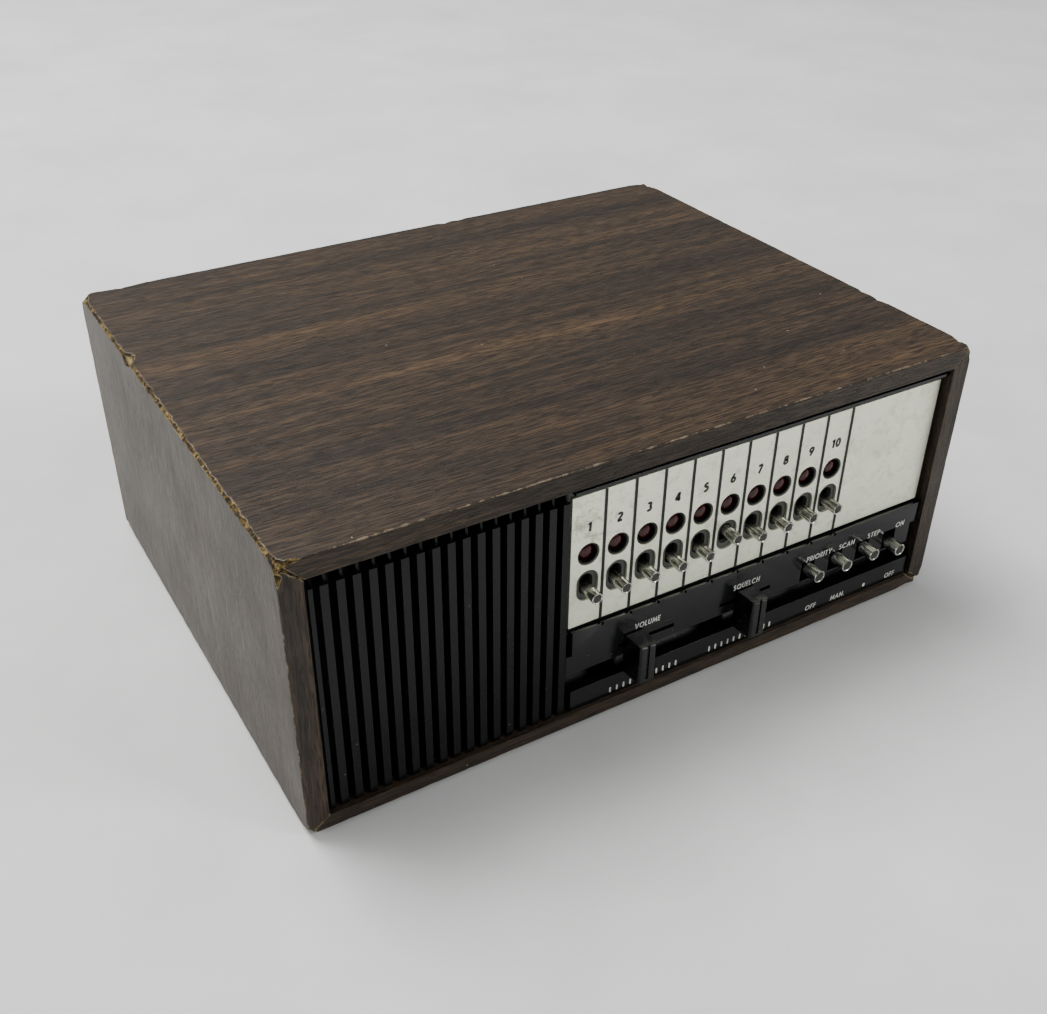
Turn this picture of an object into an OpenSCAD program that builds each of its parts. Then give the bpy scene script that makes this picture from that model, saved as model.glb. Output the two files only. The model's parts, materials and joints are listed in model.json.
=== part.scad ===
// Desk-top scanning receiver: ten crystal channels in a wood-grained cabinet.
// X runs to the right, Y to the back and Z up, in millimetres.
// The origin is under the middle of the whole object, on the surface that it stands on.
// Inside place(), y = 0 is the front edge of the cabinet and z = 0 its underside.

/* [Cabinet] */
// Width over the side boards
cab_w = 267; // [258:1:340]
// Depth of the boards, front to back
cab_d = 204; // [180:1:260]
// Height of the cabinet without its feet
cab_h = 105.5; // [102:0.5:140]
// Thickness of the two side boards
side_t = 7.6; // [6:0.1:10]
// Thickness of the top board
top_t = 7.5; // [6:0.1:10]
// Thickness of the bottom board
bottom_t = 5.6; // [5:0.1:8]
// Height of the rubber feet
foot_h = 1.5; // [1:0.1:6]
// Diameter of the rubber feet
foot_d = 13; // [8:0.5:20]
// Gap between the front mouldings and the cabinet
fit = 0.3; // [0.1:0.05:0.8]

/* [Speaker grille] */
// Width of the grille moulding
grille_w = 88; // [88:0.5:110]
// Number of full slats
slat_n = 17; // [12:1:17]
// Distance from one slat to the next
slat_pitch = 5.04; // [4:0.01:5.1]
// Width of the face of a slat
slat_w = 2.65; // [1.5:0.05:3]
// Depth of a slat, front to back
slat_deep = 6.5; // [4:0.1:9]
// Side of the square speaker flange
spk_size = 84; // [70:0.5:84]

/* [Front panel] */
// Distance from the cabinet's front edge back to the bands and slats
band_y = 1.5; // [0.5:0.1:3]
// Distance from the cabinet's front edge back to the metal plate
plate_y = 3.3; // [2.5:0.1:5]
// Thickness of the metal plate
plate_t = 1; // [0.6:0.1:2]
// Height of the lower band
low_band_h = 8.8; // [7:0.1:12]
// Height of the groove between the bands
groove_h = 8.1; // [6:0.1:12]
// Height of the upper band
up_band_h = 17.65; // [16:0.05:24]
// Wall of the mouldings
wall = 2.2; // [1.6:0.1:3]

/* [Channels] */
// Distance from one channel to the next
ch_pitch = 11.6; // [10.5:0.1:13]
// Height of the lamps above the plate's lower edge
lamp_up = 28.3; // [26:0.1:34]
// Diameter of the lamp holes in the plate
lamp_hole_d = 8.5; // [8.2:0.1:9.5]
// Diameter of a lamp
lamp_d = 6.9; // [4:0.1:7]
// Height of the lever openings above the plate's lower edge
lever_up = 15.7; // [14:0.1:17]
// Width of the lever openings in the plate
opening_w = 8.5; // [7:0.1:9.5]
// Height of the lever openings in the plate
opening_h = 12.1; // [11:0.1:16]
// Diameter of a channel lever
lever_d = 4.3; // [3:0.1:5]
// Travel of a channel lever
lever_travel = 3; // [2:0.1:4]
// How far the channel levers stand in front of the cabinet
lever_reach = 3; // [1:0.1:8]

/* [Function levers] */
// Distance from one function lever to the next
fn_pitch = 13.85; // [12:0.05:14]
// Diameter of a function lever
fn_d = 5; // [4:0.1:6]
// Travel of a function lever
fn_travel = 2.6; // [2:0.1:3]
// How far the function levers stand in front of the cabinet
fn_reach = 5.2; // [2:0.1:7.4]

/* [Sliding controls] */
// Travel of the volume and squelch controls
pot_travel = 20; // [15:0.5:24]
// Width of a control knob
knob_w = 6.9; // [5:0.1:9]
// Height of a control knob
knob_h = 16.3; // [12:0.1:18]
// How far the knobs stand in front of the cabinet
knob_reach = 7.5; // [7.5:0.1:12]
// Where the volume control rests, from its middle
volume_rest = -5.6; // [-7:0.1:7]
// Where the squelch control rests, from its middle
squelch_rest = -0.4; // [-7:0.1:7]

/* [Inside and back] */
// Thickness of the chassis sheet
sheet_t = 1.2; // [0.8:0.1:2]
// How far the back panel is set in from the cabinet's back edge
back_in = 8; // [5:0.5:14]
// Thickness of the circuit boards
pcb_t = 1.6; // [1:0.1:2.4]
// Height of the standoffs under the receiver board
standoff_h = 8; // [5:0.5:14]
// Diameter of the aerial socket's threaded barrel
aerial_d = 15.9; // [15.2:0.1:16.5]
// How far the aerial socket stands behind the cabinet
aerial_reach = 7.5; // [2:0.1:12]
// Bore of the external speaker socket
jack_bore = 3.6; // [3.5:0.05:4]
// Bore of the low-voltage supply socket
supply_bore = 5.6; // [5.5:0.05:6.5]
// Bore of the mains lead grommet
grommet_bore = 7; // [5:0.1:8]

/* [Hidden] */
ch_n = 10;
CHANNELS = [for (k = [1 : ch_n]) k];

fine = 48;
cut = 1;
frame_y = -(cab_d + aerial_reach - knob_reach) / 2;

wood = "#4d423b";
black_plastic = "#2b2f30";
black_matte = "#161718";
silver = "#c9cbc0";
nickel = "#b7b4a8";
steel = "#8d9092";
board_green = "#46603f";

// The opening inside the four boards
open_l = -cab_w / 2 + side_t;
open_r = cab_w / 2 - side_t;
open_b = bottom_t;
open_t = cab_h - top_t;

// Grille and panel share the opening and meet at panel_l
grille_l = open_l + fit;
panel_l = grille_l + grille_w;
panel_r = open_r - fit;
mould_t = open_t - fit;
slat_y = band_y + 0.2;
frame_front = slat_y + slat_deep;
frame_back = frame_front + 2;
slat_0 = panel_l - slat_w - (slat_n - 1) * slat_pitch;
slat_gap = 4.9;
slat_top = mould_t - slat_gap;
sill_h = 1.6;
sill_top = open_b + sill_h;
sill_in = 1.7;
sill_front = slat_y + sill_in;
spk_x = (grille_l + panel_l) / 2;
spk_z = (open_b + open_t) / 2;
spk_edge = 5;
spk_screw = spk_size / 2 - spk_edge;
cloth_t = 0.5;
spk_y = frame_back + cloth_t;
spk_flange = 1.5;
spk_r = spk_size / 2 - spk_edge;
spk_deep = 21;
magnet_y = spk_y + spk_deep;
magnet_r = 22;
magnet_h = 11;
pole_hole_r = 9;
screw_d = 2.6;
head_d = 5;
head_h = 1.8;

// Heights of the front panel
low_top = open_b + low_band_h;
groove_top = low_top + groove_h;
up_top = groove_top + up_band_h;
plate_gap = 1.15;
plate_b = up_top + plate_gap;
header_h = 5.1;
plate_top = open_t - header_h;
rim_gap = 1.9;
rim_b = plate_top + rim_gap;
rim_h = 1.1;
ledge_deep = 2.2;
pocket_y = plate_y + plate_t;
pocket_back = pocket_y + wall;
band_inset = 2.35;
band_l = panel_l + band_inset;
plate_inset_l = 1.65;
plate_inset_r = 1.9;
plate_l = panel_l + plate_inset_l;
plate_r = open_r - plate_inset_r;
tab_h = 8.1;
tab_z = groove_top + tab_h;
notch_w = 3.7;
notch_h = 8.9;
notch_z = groove_top + notch_h;
ledge_t = 0.8;
groove_y = 9;
groove_back = groove_y + 2;
groove_step = 5.3;
divider_w = 1;
divider_t = 0.25;

// Channels
ch_inset = 2.75;
ch_0 = panel_l + ch_inset;
lamp_z = plate_b + lamp_up;
lever_z = plate_b + lever_up;
up_channel = 6;
board_y = 19.5;
board_back = board_y + pcb_t;
holder_play = 0.5;
holder_d = lamp_hole_d - holder_play;
holder_in = 0.4;
holder_y = plate_y + holder_in;
lamp_back = 13;
stem_d = 2.4;
play = 0.4;
cap_back = 8.5;
stem_back = 15.5;
switch_y = 10;
switch_w = 9;
switch_h = 14;

// Function levers
fn_inset = 14.75;
fn_x3 = open_r - fn_inset;
fn_low = groove_top + ledge_t + fn_d / 2 + fit;
fn_high = fn_low + fn_travel;
fn_mid = (fn_low + fn_high) / 2;
fn_cap_back = 11;
fn_stem_back = 16.5;
fn_switch_y = 12.5;
fn_play = 0.7;
fn_window_w = fn_d + 2 * fn_play;

// Sliding controls
volume_inset = 33.5;
volume_x = panel_l + volume_inset;
pot_spacing = 44;
squelch_x = volume_x + pot_spacing;
slit_up = 4.3;
slit_z = groove_top + slit_up;
slit_h = 1.6;
stem_w = 3;
stem_t = 1;
slider_y = -3.5;
slider_back = 14.5;
wiper_w = 6;
wiper_back = 17;
pot_y = 12.5;
pot_ends = 18;
pot_l = pot_travel + pot_ends;
pot_h = 10;
knob_gap = 0.4;
knob_b = low_top + fit;
knob_back = band_y - knob_gap;

// Posts that hold the display board
post_d = 7;
post_x = [panel_l + 8, (panel_l + panel_r) / 2, panel_r - 7];
post_low_z = low_top + 3;
post_high_z = mould_t - 6;

// Chassis and what stands on it
floor_top = open_b + sheet_t;
back_out = cab_d - back_in;
back_wall = back_out - sheet_t;
chassis_l = open_l + 1;
chassis_r = open_r - 1;
chassis_y = 26;
rec_z = floor_top + standoff_h;
rec_top = rec_z + pcb_t;
rec_l = panel_l + 5;
rec_r = panel_r - 9;
rec_y = 42;
rec_back = back_wall - 22;
rec_edge = 5;
rec_posts = [
    for (x = [rec_l + rec_edge, (rec_l + rec_r) / 2, rec_r - rec_edge])
        for (y = [rec_y + rec_edge, rec_back - rec_edge])
            [x, y]
];
standoff_d = 6;
standoff_floor = 2;
crystal_inset = 12;
crystal_pitch = (rec_r - rec_l - 2 * crystal_inset) / (ch_n - 1);
crystal_y = rec_y + 22;
coil_y = crystal_y + 24;
chip_y = crystal_y + 46;
socket_w = 10;
socket_t = 6;
socket_h = 5;
trafo_x = open_l + 57;
trafo_y = back_wall - 44;
core_w = 48;
core_d = 20;
core_h = 40;
leg_w = 16;
window_w = 8;
strap_t = 1;
strap_foot = 9;
strap_hole_d = 3;
strap_head_d = 6;
cab_screw_in = 14;
cab_screws = [
    for (x = [chassis_l + cab_screw_in, chassis_r - cab_screw_in])
        for (y = [chassis_y + cab_screw_in, back_wall - 3 * cab_screw_in])
            [x, y]
];
cab_screw_d = 4;
cab_head_d = 8;
cab_head_h = 2;
sink = 0.5;

// Sockets on the back panel
aerial_x = open_r - 32;
aerial_z = open_t - 24;
jack_x = open_r - 62;
supply_x = open_r - 92;
socket_z = open_b + 26;
fuse_x = open_l + 66;
grommet_x = open_l + 34;
aerial_hole = 12;
aerial_flange = 25;
aerial_bore = 11;
jack_nut_d = 9;
jack_thread_d = 6;
supply_thread_d = 9;
fuse_d = 12;
grommet_d = 12;

// ---- Helpers ----

// Moves from the cabinet's own zero to the frame of the whole object
module place() {
    translate([0, frame_y, foot_h]) children();
}

// Box between two corners
module block(x0, x1, y0, y1, z0, z1) {
    translate([x0, y0, z0]) cube([x1 - x0, y1 - y0, z1 - z0]);
}

// Round rod along Y
module rod(x, z, y0, y1, d) {
    translate([x, y0, z]) rotate([-90, 0, 0]) cylinder(d = d, h = y1 - y0, $fn = fine);
}

// Round-ended upright bar along Y, for slots
module upright_slot(x, z, y0, y1, w, h) {
    half = (h - w) / 2;
    union() {
        block(x - w / 2, x + w / 2, y0, y1, z - half, z + half);
        rod(x, z + half, y0, y1, w);
        rod(x, z - half, y0, y1, w);
    }
}

// Flat outline in X and Z, carried along Y
module along_y(y0, y1) {
    translate([0, y1, 0]) rotate([90, 0, 0]) linear_extrude(height = y1 - y0) children();
}

// Round profile turned about a line along Y: the outline is [radius, distance back]
module turned_y(x, y, z) {
    translate([x, y, z]) rotate([-90, 0, 0]) rotate_extrude($fn = 96) children();
}

function ch_x(k) = ch_0 + (k - 0.5) * ch_pitch;
function divider_x(k) = ch_0 + k * ch_pitch;
function lever_rest_z(k) = lever_z + (k == up_channel ? 1 : -1) * lever_travel / 2;
function fn_x(i) = fn_x3 - (3 - i) * fn_pitch;
function fn_rest_z(i) = i == 3 ? fn_low : fn_high;

// ---- Cabinet ----

// Each board meets its neighbours on a mitre from the outer to the inner corner
module cabinet_top() {
    color(wood) place() along_y(0, cab_d) polygon([
        [-cab_w / 2, cab_h], [open_l, open_t], [open_r, open_t], [cab_w / 2, cab_h]
    ]);
}

module cabinet_bottom() {
    color(wood) place() difference() {
        along_y(0, cab_d) polygon([
            [-cab_w / 2, 0], [cab_w / 2, 0], [open_r, open_b], [open_l, open_b]
        ]);
        for (p = cab_screws) {
            translate([p[0], p[1], -cut])
                cylinder(d = cab_screw_d + play, h = bottom_t + 2 * cut, $fn = fine);
            translate([p[0], p[1], -cut])
                cylinder(d = cab_head_d + 1, h = cab_head_h + sink + cut, $fn = fine);
        }
    }
}

module cabinet_side(s) {
    along_y(0, cab_d) polygon([
        [s * cab_w / 2, 0], [s * cab_w / 2, cab_h],
        [s * (cab_w / 2 - side_t), open_t], [s * (cab_w / 2 - side_t), open_b]
    ]);
}

module cabinet_left() {
    color(wood) place() cabinet_side(-1);
}

module cabinet_right() {
    color(wood) place() cabinet_side(1);
}

module feet() {
    inset = 24;
    color(black_matte) place()
        for (x = [-cab_w / 2 + inset, cab_w / 2 - inset])
            for (y = [inset, cab_d - inset])
                translate([x, y, -foot_h]) cylinder(d = foot_d, h = foot_h, $fn = fine);
}

// ---- Speaker and its grille ----

module speaker_grille() {
    edge_rib_w = 1.5;
    edge_wall = 1.2;
    web_w = 0.9;
    border = 3;
    bar_h = 9;
    lift = 0.2;
    rib_top = mould_t - 1.2;
    color(black_plastic) place() difference() {
        union() {
            // Frame behind the slats, with its bars
            block(grille_l, panel_l, frame_front, frame_back, slat_top - 1.3, mould_t);
            block(grille_l, grille_l + border, frame_front, frame_back, open_b, mould_t);
            block(panel_l - border, panel_l, frame_front, frame_back, open_b, mould_t);
            block(grille_l, panel_l, sill_front, frame_back, open_b, sill_top);
            block(grille_l, grille_l + edge_wall, sill_front, frame_back, open_b, mould_t);
            for (z = [-spk_screw, -spk_screw / 3, spk_screw / 3, spk_screw])
                block(grille_l, panel_l, frame_front, frame_back,
                    spk_z + z - bar_h / 2, spk_z + z + bar_h / 2);
            // Narrow rib at the edge, then the full slats
            block(grille_l + edge_wall, grille_l + edge_wall + edge_rib_w, slat_y, frame_back,
                open_b + lift, slat_top);
            for (i = [0 : slat_n - 1]) {
                x = slat_0 + i * slat_pitch;
                block(x, x + slat_w, slat_y, frame_back, open_b + lift, slat_top);
                block(x + slat_w - web_w, x + slat_w, sill_front, frame_back, slat_top - 2, rib_top);
            }
        }
        for (sx = [-1, 1])
            for (sz = [-1, 1])
                rod(spk_x + sx * spk_screw, spk_z + sz * spk_screw,
                    frame_front + 0.5, frame_back + cut, screw_d);
    }
}

module grille_cloth() {
    margin = 1.5;
    color(black_matte) place() difference() {
        block(spk_x - spk_size / 2 + margin, spk_x + spk_size / 2 - margin,
            frame_back, frame_back + cloth_t,
            spk_z - spk_size / 2 + margin, spk_z + spk_size / 2 - margin);
        for (sx = [-1, 1])
            for (sz = [-1, 1])
                rod(spk_x + sx * spk_screw, spk_z + sz * spk_screw,
                    frame_back - cut, spk_y + cut, screw_d);
    }
}

module speaker_basket() {
    rim = spk_r;
    throat = magnet_r - 1;
    skin = 1.2;
    deep = magnet_y - spk_y;
    leg_gap = 12;
    color(steel) place() difference() {
        union() {
            difference() {
                block(spk_x - spk_size / 2, spk_x + spk_size / 2, spk_y, spk_y + spk_flange,
                    spk_z - spk_size / 2, spk_z + spk_size / 2);
                rod(spk_x, spk_z, spk_y - cut, spk_y + spk_flange + cut, 2 * rim);
                for (sx = [-1, 1])
                    for (sz = [-1, 1])
                        rod(spk_x + sx * spk_screw, spk_z + sz * spk_screw, spk_y - cut,
                            spk_y + spk_flange + cut, screw_d);
            }
            turned_y(spk_x, spk_y, spk_z) polygon([
                [rim, 0], [rim + skin, 0], [rim + skin, 3], [throat, deep], [pole_hole_r, deep],
                [pole_hole_r, deep - skin], [throat - 1, deep - skin], [rim, 3]
            ]);
        }
        // Four openings in the back of the basket
        for (a = [0 : 90 : 270])
            translate([spk_x, 0, spk_z]) rotate([0, a + 45, 0])
                block(throat + 2, rim + skin + cut, spk_y + 4.5, magnet_y - 3.5, -leg_gap, leg_gap);
    }
}

module speaker_cone() {
    rim = spk_r;
    skin = 0.6;
    coil_r = 8;
    color(black_matte) place() turned_y(spk_x, spk_y, spk_z) polygon([
        [rim, 0.6], [rim, 1.2], [rim - 4, 1.2], [coil_r + 1.5, 15.5], [coil_r + 0.4, 15.5],
        [coil_r + 0.4, 19], [coil_r, 19], [coil_r, 15], [4, 12.6], [0, 12], [0, 11.4],
        [4, 12], [coil_r + 0.6, 14.6], [rim - 4.3, 0.6]
    ]);
}

module speaker_magnet() {
    pole_r = 6.5;
    color(steel) place() turned_y(spk_x, magnet_y, spk_z) polygon([
        [pole_hole_r, 0], [magnet_r, 0], [magnet_r, magnet_h], [0, magnet_h], [0, -3],
        [pole_r, -3], [pole_r, magnet_h - 3],
        [pole_hole_r, magnet_h - 3]
    ]);
}

module speaker_screws() {
    color(steel) place()
        for (sx = [-1, 1])
            for (sz = [-1, 1]) {
                rod(spk_x + sx * spk_screw, spk_z + sz * spk_screw,
                    frame_front + 1, spk_y + spk_flange, screw_d);
                rod(spk_x + sx * spk_screw, spk_z + sz * spk_screw, spk_y + spk_flange,
                    spk_y + spk_flange + head_h, head_d);
            }
}

// ---- Front panel ----

// Black moulding behind the metal plate, with the two bands and the groove between them
module control_panel() {
    lever_play = 0.9;
    slot_w = lever_d + lever_play;
    slot_h = lever_d + lever_travel + lever_play;
    slit_half = pot_travel / 2 + stem_w / 2 + fit;
    color(black_plastic) place() difference() {
        union() {
            // Pocket behind the plate, and the rim above it
            block(panel_l, panel_r, pocket_y, pocket_back, up_top - ledge_deep, mould_t);
            block(plate_l, panel_r, band_y, pocket_back, rim_b, rim_b + rim_h);
            block(panel_l, panel_l + 1.2, pocket_y, frame_back, open_b, mould_t);
            // Upper band with its top and bottom ledges, and the tab at its left
            block(band_l, panel_r, band_y, band_y + wall, groove_top, up_top);
            block(band_l, panel_r, band_y, pocket_back, up_top - ledge_deep, up_top);
            block(panel_l, panel_r, band_y + wall, groove_back, groove_top, groove_top + ledge_t);
            block(panel_l, band_l + cut, band_y, band_y + wall, groove_top, tab_z);
            // Groove, stepped floor and lower band
            block(panel_l, panel_r, groove_y, groove_back, low_top - 2, groove_top + ledge_t);
            block(band_l, panel_r, band_y, groove_step, low_top - 2, low_top);
            block(band_l, panel_r, groove_step, groove_back, low_top - 2, low_top - 0.8);
            block(band_l, panel_r, band_y, band_y + wall, open_b, low_top);
            // Posts for the display board
            for (x = post_x) {
                rod(x, post_high_z, pocket_back - 0.5, board_y, post_d);
                rod(x, post_low_z, groove_back - 0.5, board_y, post_d);
            }
        }
        // Notch at the right end of the upper band
        block(panel_r - notch_w, panel_r + cut, band_y - cut, pocket_back + cut, groove_top - cut, notch_z);
        // Small notches in the ledge, under the dividers
        for (k = CHANNELS)
            block(divider_x(k) - 0.5, divider_x(k) + 0.5, band_y - cut, band_y + 0.8,
                up_top - 0.9, up_top + cut);
        // Lamps and channel levers
        for (k = CHANNELS) {
            rod(ch_x(k), lamp_z, pocket_y - cut, pocket_back + cut, holder_d + 0.1);
            upright_slot(ch_x(k), lever_z, pocket_y - cut, pocket_back + cut, slot_w, slot_h);
        }
        // Windows for the function levers
        for (i = [0 : 3])
            block(fn_x(i) - fn_window_w / 2, fn_x(i) + fn_window_w / 2, band_y - cut, band_y + wall + cut,
                groove_top + ledge_t, fn_high + fn_d / 2 + fit);
        // Slits for the sliding controls
        for (x = [volume_x, squelch_x])
            block(x - slit_half, x + slit_half, band_y - cut, band_y + wall + cut,
                slit_z - slit_h / 2, slit_z + slit_h / 2);
        // Screw holes in the posts
        for (x = post_x)
            for (z = [post_low_z, post_high_z])
                rod(x, z, board_y - 6, board_y + cut, screw_d);
    }
}

module channel_plate() {
    color(silver) place() difference() {
        block(plate_l, plate_r, plate_y, pocket_y, plate_b, plate_top);
        for (k = CHANNELS) {
            rod(ch_x(k), lamp_z, plate_y - cut, pocket_y + cut, lamp_hole_d);
            upright_slot(ch_x(k), lever_z, plate_y - cut, pocket_y + cut, opening_w, opening_h);
        }
    }
}

module channel_dividers() {
    color(black_matte) place()
        for (k = CHANNELS)
            block(divider_x(k) - divider_w / 2, divider_x(k) + divider_w / 2,
                plate_y - divider_t, plate_y, plate_b, plate_top);
}

// Black sleeve that carries each lamp from the display board to its hole
module lamp_holders() {
    lead_bore = 3.4;
    color(black_matte) place()
        for (k = CHANNELS)
            difference() {
                rod(ch_x(k), lamp_z, holder_y, board_y, holder_d);
                rod(ch_x(k), lamp_z, holder_y - cut, lamp_back, lamp_d + 0.2);
                rod(ch_x(k), lamp_z, lamp_back - cut, board_y + cut, lead_bore);
            }
}

// Domed red lamp with its two leads
module channel_lamps() {
    r = lamp_d / 2;
    dome_y = holder_y + 0.5 + r;
    lead = 1.27;
    color("#4a1517") place()
        for (k = CHANNELS)
            union() {
                turned_y(ch_x(k), 0, lamp_z) intersection() {
                    translate([0, dome_y]) circle(r = r, $fn = 64);
                    translate([0, dome_y - r]) square([r, 2 * r]);
                }
                rod(ch_x(k), lamp_z, dome_y, lamp_back, lamp_d);
                for (s = [-1, 1])
                    rod(ch_x(k) + s * lead, lamp_z, lamp_back, board_y, 0.5);
            }
}

// ---- Levers ----

// Plated lever with a shallow dished end and a thin stem that works the switch
module lever(x, z, d, y_tip, y_cap, y_stem) {
    rim = 0.55;
    dish = 0.3;
    difference() {
        union() {
            rod(x, z, y_tip, y_cap, d);
            rod(x, z, y_cap, y_stem, stem_d);
        }
        rod(x, z, y_tip - cut, y_tip + dish, d - 2 * rim);
    }
}

module channel_lever(k) {
    color(nickel) place() lever(ch_x(k), lever_rest_z(k), lever_d, -lever_reach, cap_back, stem_back);
}

module function_lever(i) {
    color(nickel) place() lever(fn_x(i), fn_rest_z(i), fn_d, -fn_reach, fn_cap_back, fn_stem_back);
}

// ---- Sliding controls ----

// Knob with a grooved face, a slot for the control's tongue and a rib in the panel's groove
module slide_knob(x) {
    base_w = knob_w + 1;
    bevel = 0.7;
    front = -knob_reach;
    top = knob_b + knob_h;
    rib_w = 4;
    rib_gap = 0.8;
    grip_w = 0.9;
    grip_t = 0.8;
    grip = 0.05;
    color(black_matte) place() difference() {
        union() {
            translate([x, 0, knob_b]) linear_extrude(height = knob_h) polygon([
                [-base_w / 2, knob_back], [-knob_w / 2, front + bevel], [-knob_w / 2 + bevel, front],
                [knob_w / 2 - bevel, front], [knob_w / 2, front + bevel], [base_w / 2, knob_back]
            ]);
            block(x - rib_w / 2, x + rib_w / 2, knob_back - cut, groove_step - 1,
                low_top + rib_gap, groove_top - rib_gap);
        }
        block(x - grip_w / 2, x + grip_w / 2, front - cut, front + grip_t, knob_b + 1, top + cut);
        translate([x - base_w, front, top]) rotate([-45, 0, 0])
            translate([0, -bevel, -bevel]) cube([2 * base_w, 2 * bevel, bevel]);
        block(x - stem_w / 2 - grip, x + stem_w / 2 + grip, slider_y, knob_back + cut,
            slit_z - stem_t / 2 - grip, slit_z + stem_t / 2 + grip);
    }
}

// Metal tongue and wiper of a slide control
module slide_tongue(x) {
    color(steel) place() union() {
        block(x - stem_w / 2, x + stem_w / 2, slider_y, slider_back,
            slit_z - stem_t / 2, slit_z + stem_t / 2);
        block(x - wiper_w / 2, x + wiper_w / 2, slider_back, wiper_back, slit_z - 2, slit_z + 2);
    }
}

// Can of a slide control, open along its front for the tongue
module slide_can(x) {
    slot_half = pot_travel / 2 + stem_w / 2 + 0.6;
    room_half = pot_travel / 2 + wiper_w / 2 + 0.6;
    color(steel) place() difference() {
        block(x - pot_l / 2, x + pot_l / 2, pot_y, board_y, slit_z - pot_h / 2, slit_z + pot_h / 2);
        block(x - slot_half, x + slot_half, pot_y - cut, pot_y + 1.5, slit_z - 1.2, slit_z + 1.2);
        block(x - room_half, x + room_half, pot_y + 1.2, board_y - 1.5, slit_z - 2.6, slit_z + 2.6);
    }
}

module volume_knob() {
    slide_knob(volume_x + volume_rest);
}

module volume_slider() {
    slide_tongue(volume_x + volume_rest);
}

module volume_control() {
    slide_can(volume_x);
}

module squelch_knob() {
    slide_knob(squelch_x + squelch_rest);
}

module squelch_slider() {
    slide_tongue(squelch_x + squelch_rest);
}

module squelch_control() {
    slide_can(squelch_x);
}

// ---- Switches and the display board ----

// Body of a slide switch with an upright slot for the lever's stem
module switch_body(x, z, y, travel, y_stem) {
    difference() {
        block(x - switch_w / 2, x + switch_w / 2, y, board_y, z - switch_h / 2, z + switch_h / 2);
        block(x - stem_d / 2 - play, x + stem_d / 2 + play, y - cut, y_stem + 1,
            z - (travel + stem_d) / 2 - play, z + (travel + stem_d) / 2 + play);
    }
}

module channel_switches() {
    color(black_matte) place()
        for (k = CHANNELS)
            switch_body(ch_x(k), lever_z, switch_y, lever_travel, stem_back);
}

module function_switches() {
    color(black_matte) place()
        for (i = [0 : 3])
            switch_body(fn_x(i), fn_mid, fn_switch_y, fn_travel, fn_stem_back);
}

module display_board() {
    color(board_green) place() difference() {
        block(panel_l + 3, panel_r - 2, board_y, board_back, open_b + 5, mould_t - 1);
        for (x = post_x)
            for (z = [post_low_z, post_high_z])
                rod(x, z, board_y - cut, board_back + cut, screw_d);
    }
}

module display_screws() {
    color(steel) place()
        for (x = post_x)
            for (z = [post_low_z, post_high_z]) {
                rod(x, z, board_y - 5, board_back, screw_d);
                rod(x, z, board_back, board_back + head_h, head_d);
            }
}

// ---- Chassis and the receiver inside ----

// Bent steel tray: floor, low side flanges and the back panel
module chassis() {
    flange_h = 12;
    vent_n = 14;
    vent_pitch = 5;
    vent_w = 2.2;
    vent_h = 26;
    vent_x = open_l + 24;
    vent_z = mould_t - 26;
    color(steel) place() difference() {
        union() {
            block(chassis_l, chassis_r, chassis_y, back_out, open_b, floor_top);
            block(chassis_l, chassis_l + sheet_t, chassis_y, back_out, open_b, open_b + flange_h);
            block(chassis_r - sheet_t, chassis_r, chassis_y, back_out, open_b, open_b + flange_h);
            block(chassis_l, chassis_r, back_wall, back_out, open_b, mould_t);
        }
        for (p = cab_screws)
            translate([p[0], p[1], open_b - cut])
                cylinder(d = cab_screw_d, h = sheet_t + 2 * cut, $fn = fine);
        for (i = [0 : vent_n - 1])
            upright_slot(vent_x + i * vent_pitch, vent_z, back_wall - cut, back_out + cut,
                vent_w, vent_h);
        rod(aerial_x, aerial_z, back_wall - cut, back_out + cut, aerial_hole);
        rod(jack_x, socket_z, back_wall - cut, back_out + cut, jack_thread_d);
        rod(supply_x, socket_z, back_wall - cut, back_out + cut, supply_thread_d);
        rod(fuse_x, socket_z, back_wall - cut, back_out + cut, fuse_d);
        rod(grommet_x, socket_z, back_wall - cut, back_out + cut, grommet_d);
    }
}

module chassis_screws() {
    color(steel) place()
        for (p = cab_screws) {
            translate([p[0], p[1], sink]) cylinder(d = cab_head_d, h = cab_head_h, $fn = fine);
            translate([p[0], p[1], sink]) cylinder(d = cab_screw_d, h = floor_top + 1, $fn = fine);
        }
}

module standoffs() {
    color(steel) place()
        for (p = rec_posts)
            difference() {
                translate([p[0], p[1], floor_top]) cylinder(d = standoff_d, h = standoff_h, $fn = fine);
                translate([p[0], p[1], floor_top + standoff_floor])
                    cylinder(d = screw_d, h = standoff_h, $fn = fine);
            }
}

module receiver_board() {
    color(board_green) place() difference() {
        block(rec_l, rec_r, rec_y, rec_back, rec_z, rec_top);
        for (p = rec_posts)
            translate([p[0], p[1], rec_z - cut])
                cylinder(d = screw_d, h = pcb_t + 2 * cut, $fn = fine);
    }
}

module board_screws() {
    bite = 5;
    color(steel) place()
        for (p = rec_posts) {
            translate([p[0], p[1], rec_z - bite]) cylinder(d = screw_d, h = pcb_t + bite, $fn = fine);
            translate([p[0], p[1], rec_top]) cylinder(d = head_d, h = head_h, $fn = fine);
        }
}

module crystal_sockets() {
    color(black_matte) place()
        for (k = [0 : ch_n - 1])
            translate([rec_l + crystal_inset + k * crystal_pitch, crystal_y, rec_top])
                translate([-socket_w / 2, -socket_t / 2, 0]) cube([socket_w, socket_t, socket_h]);
}

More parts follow.
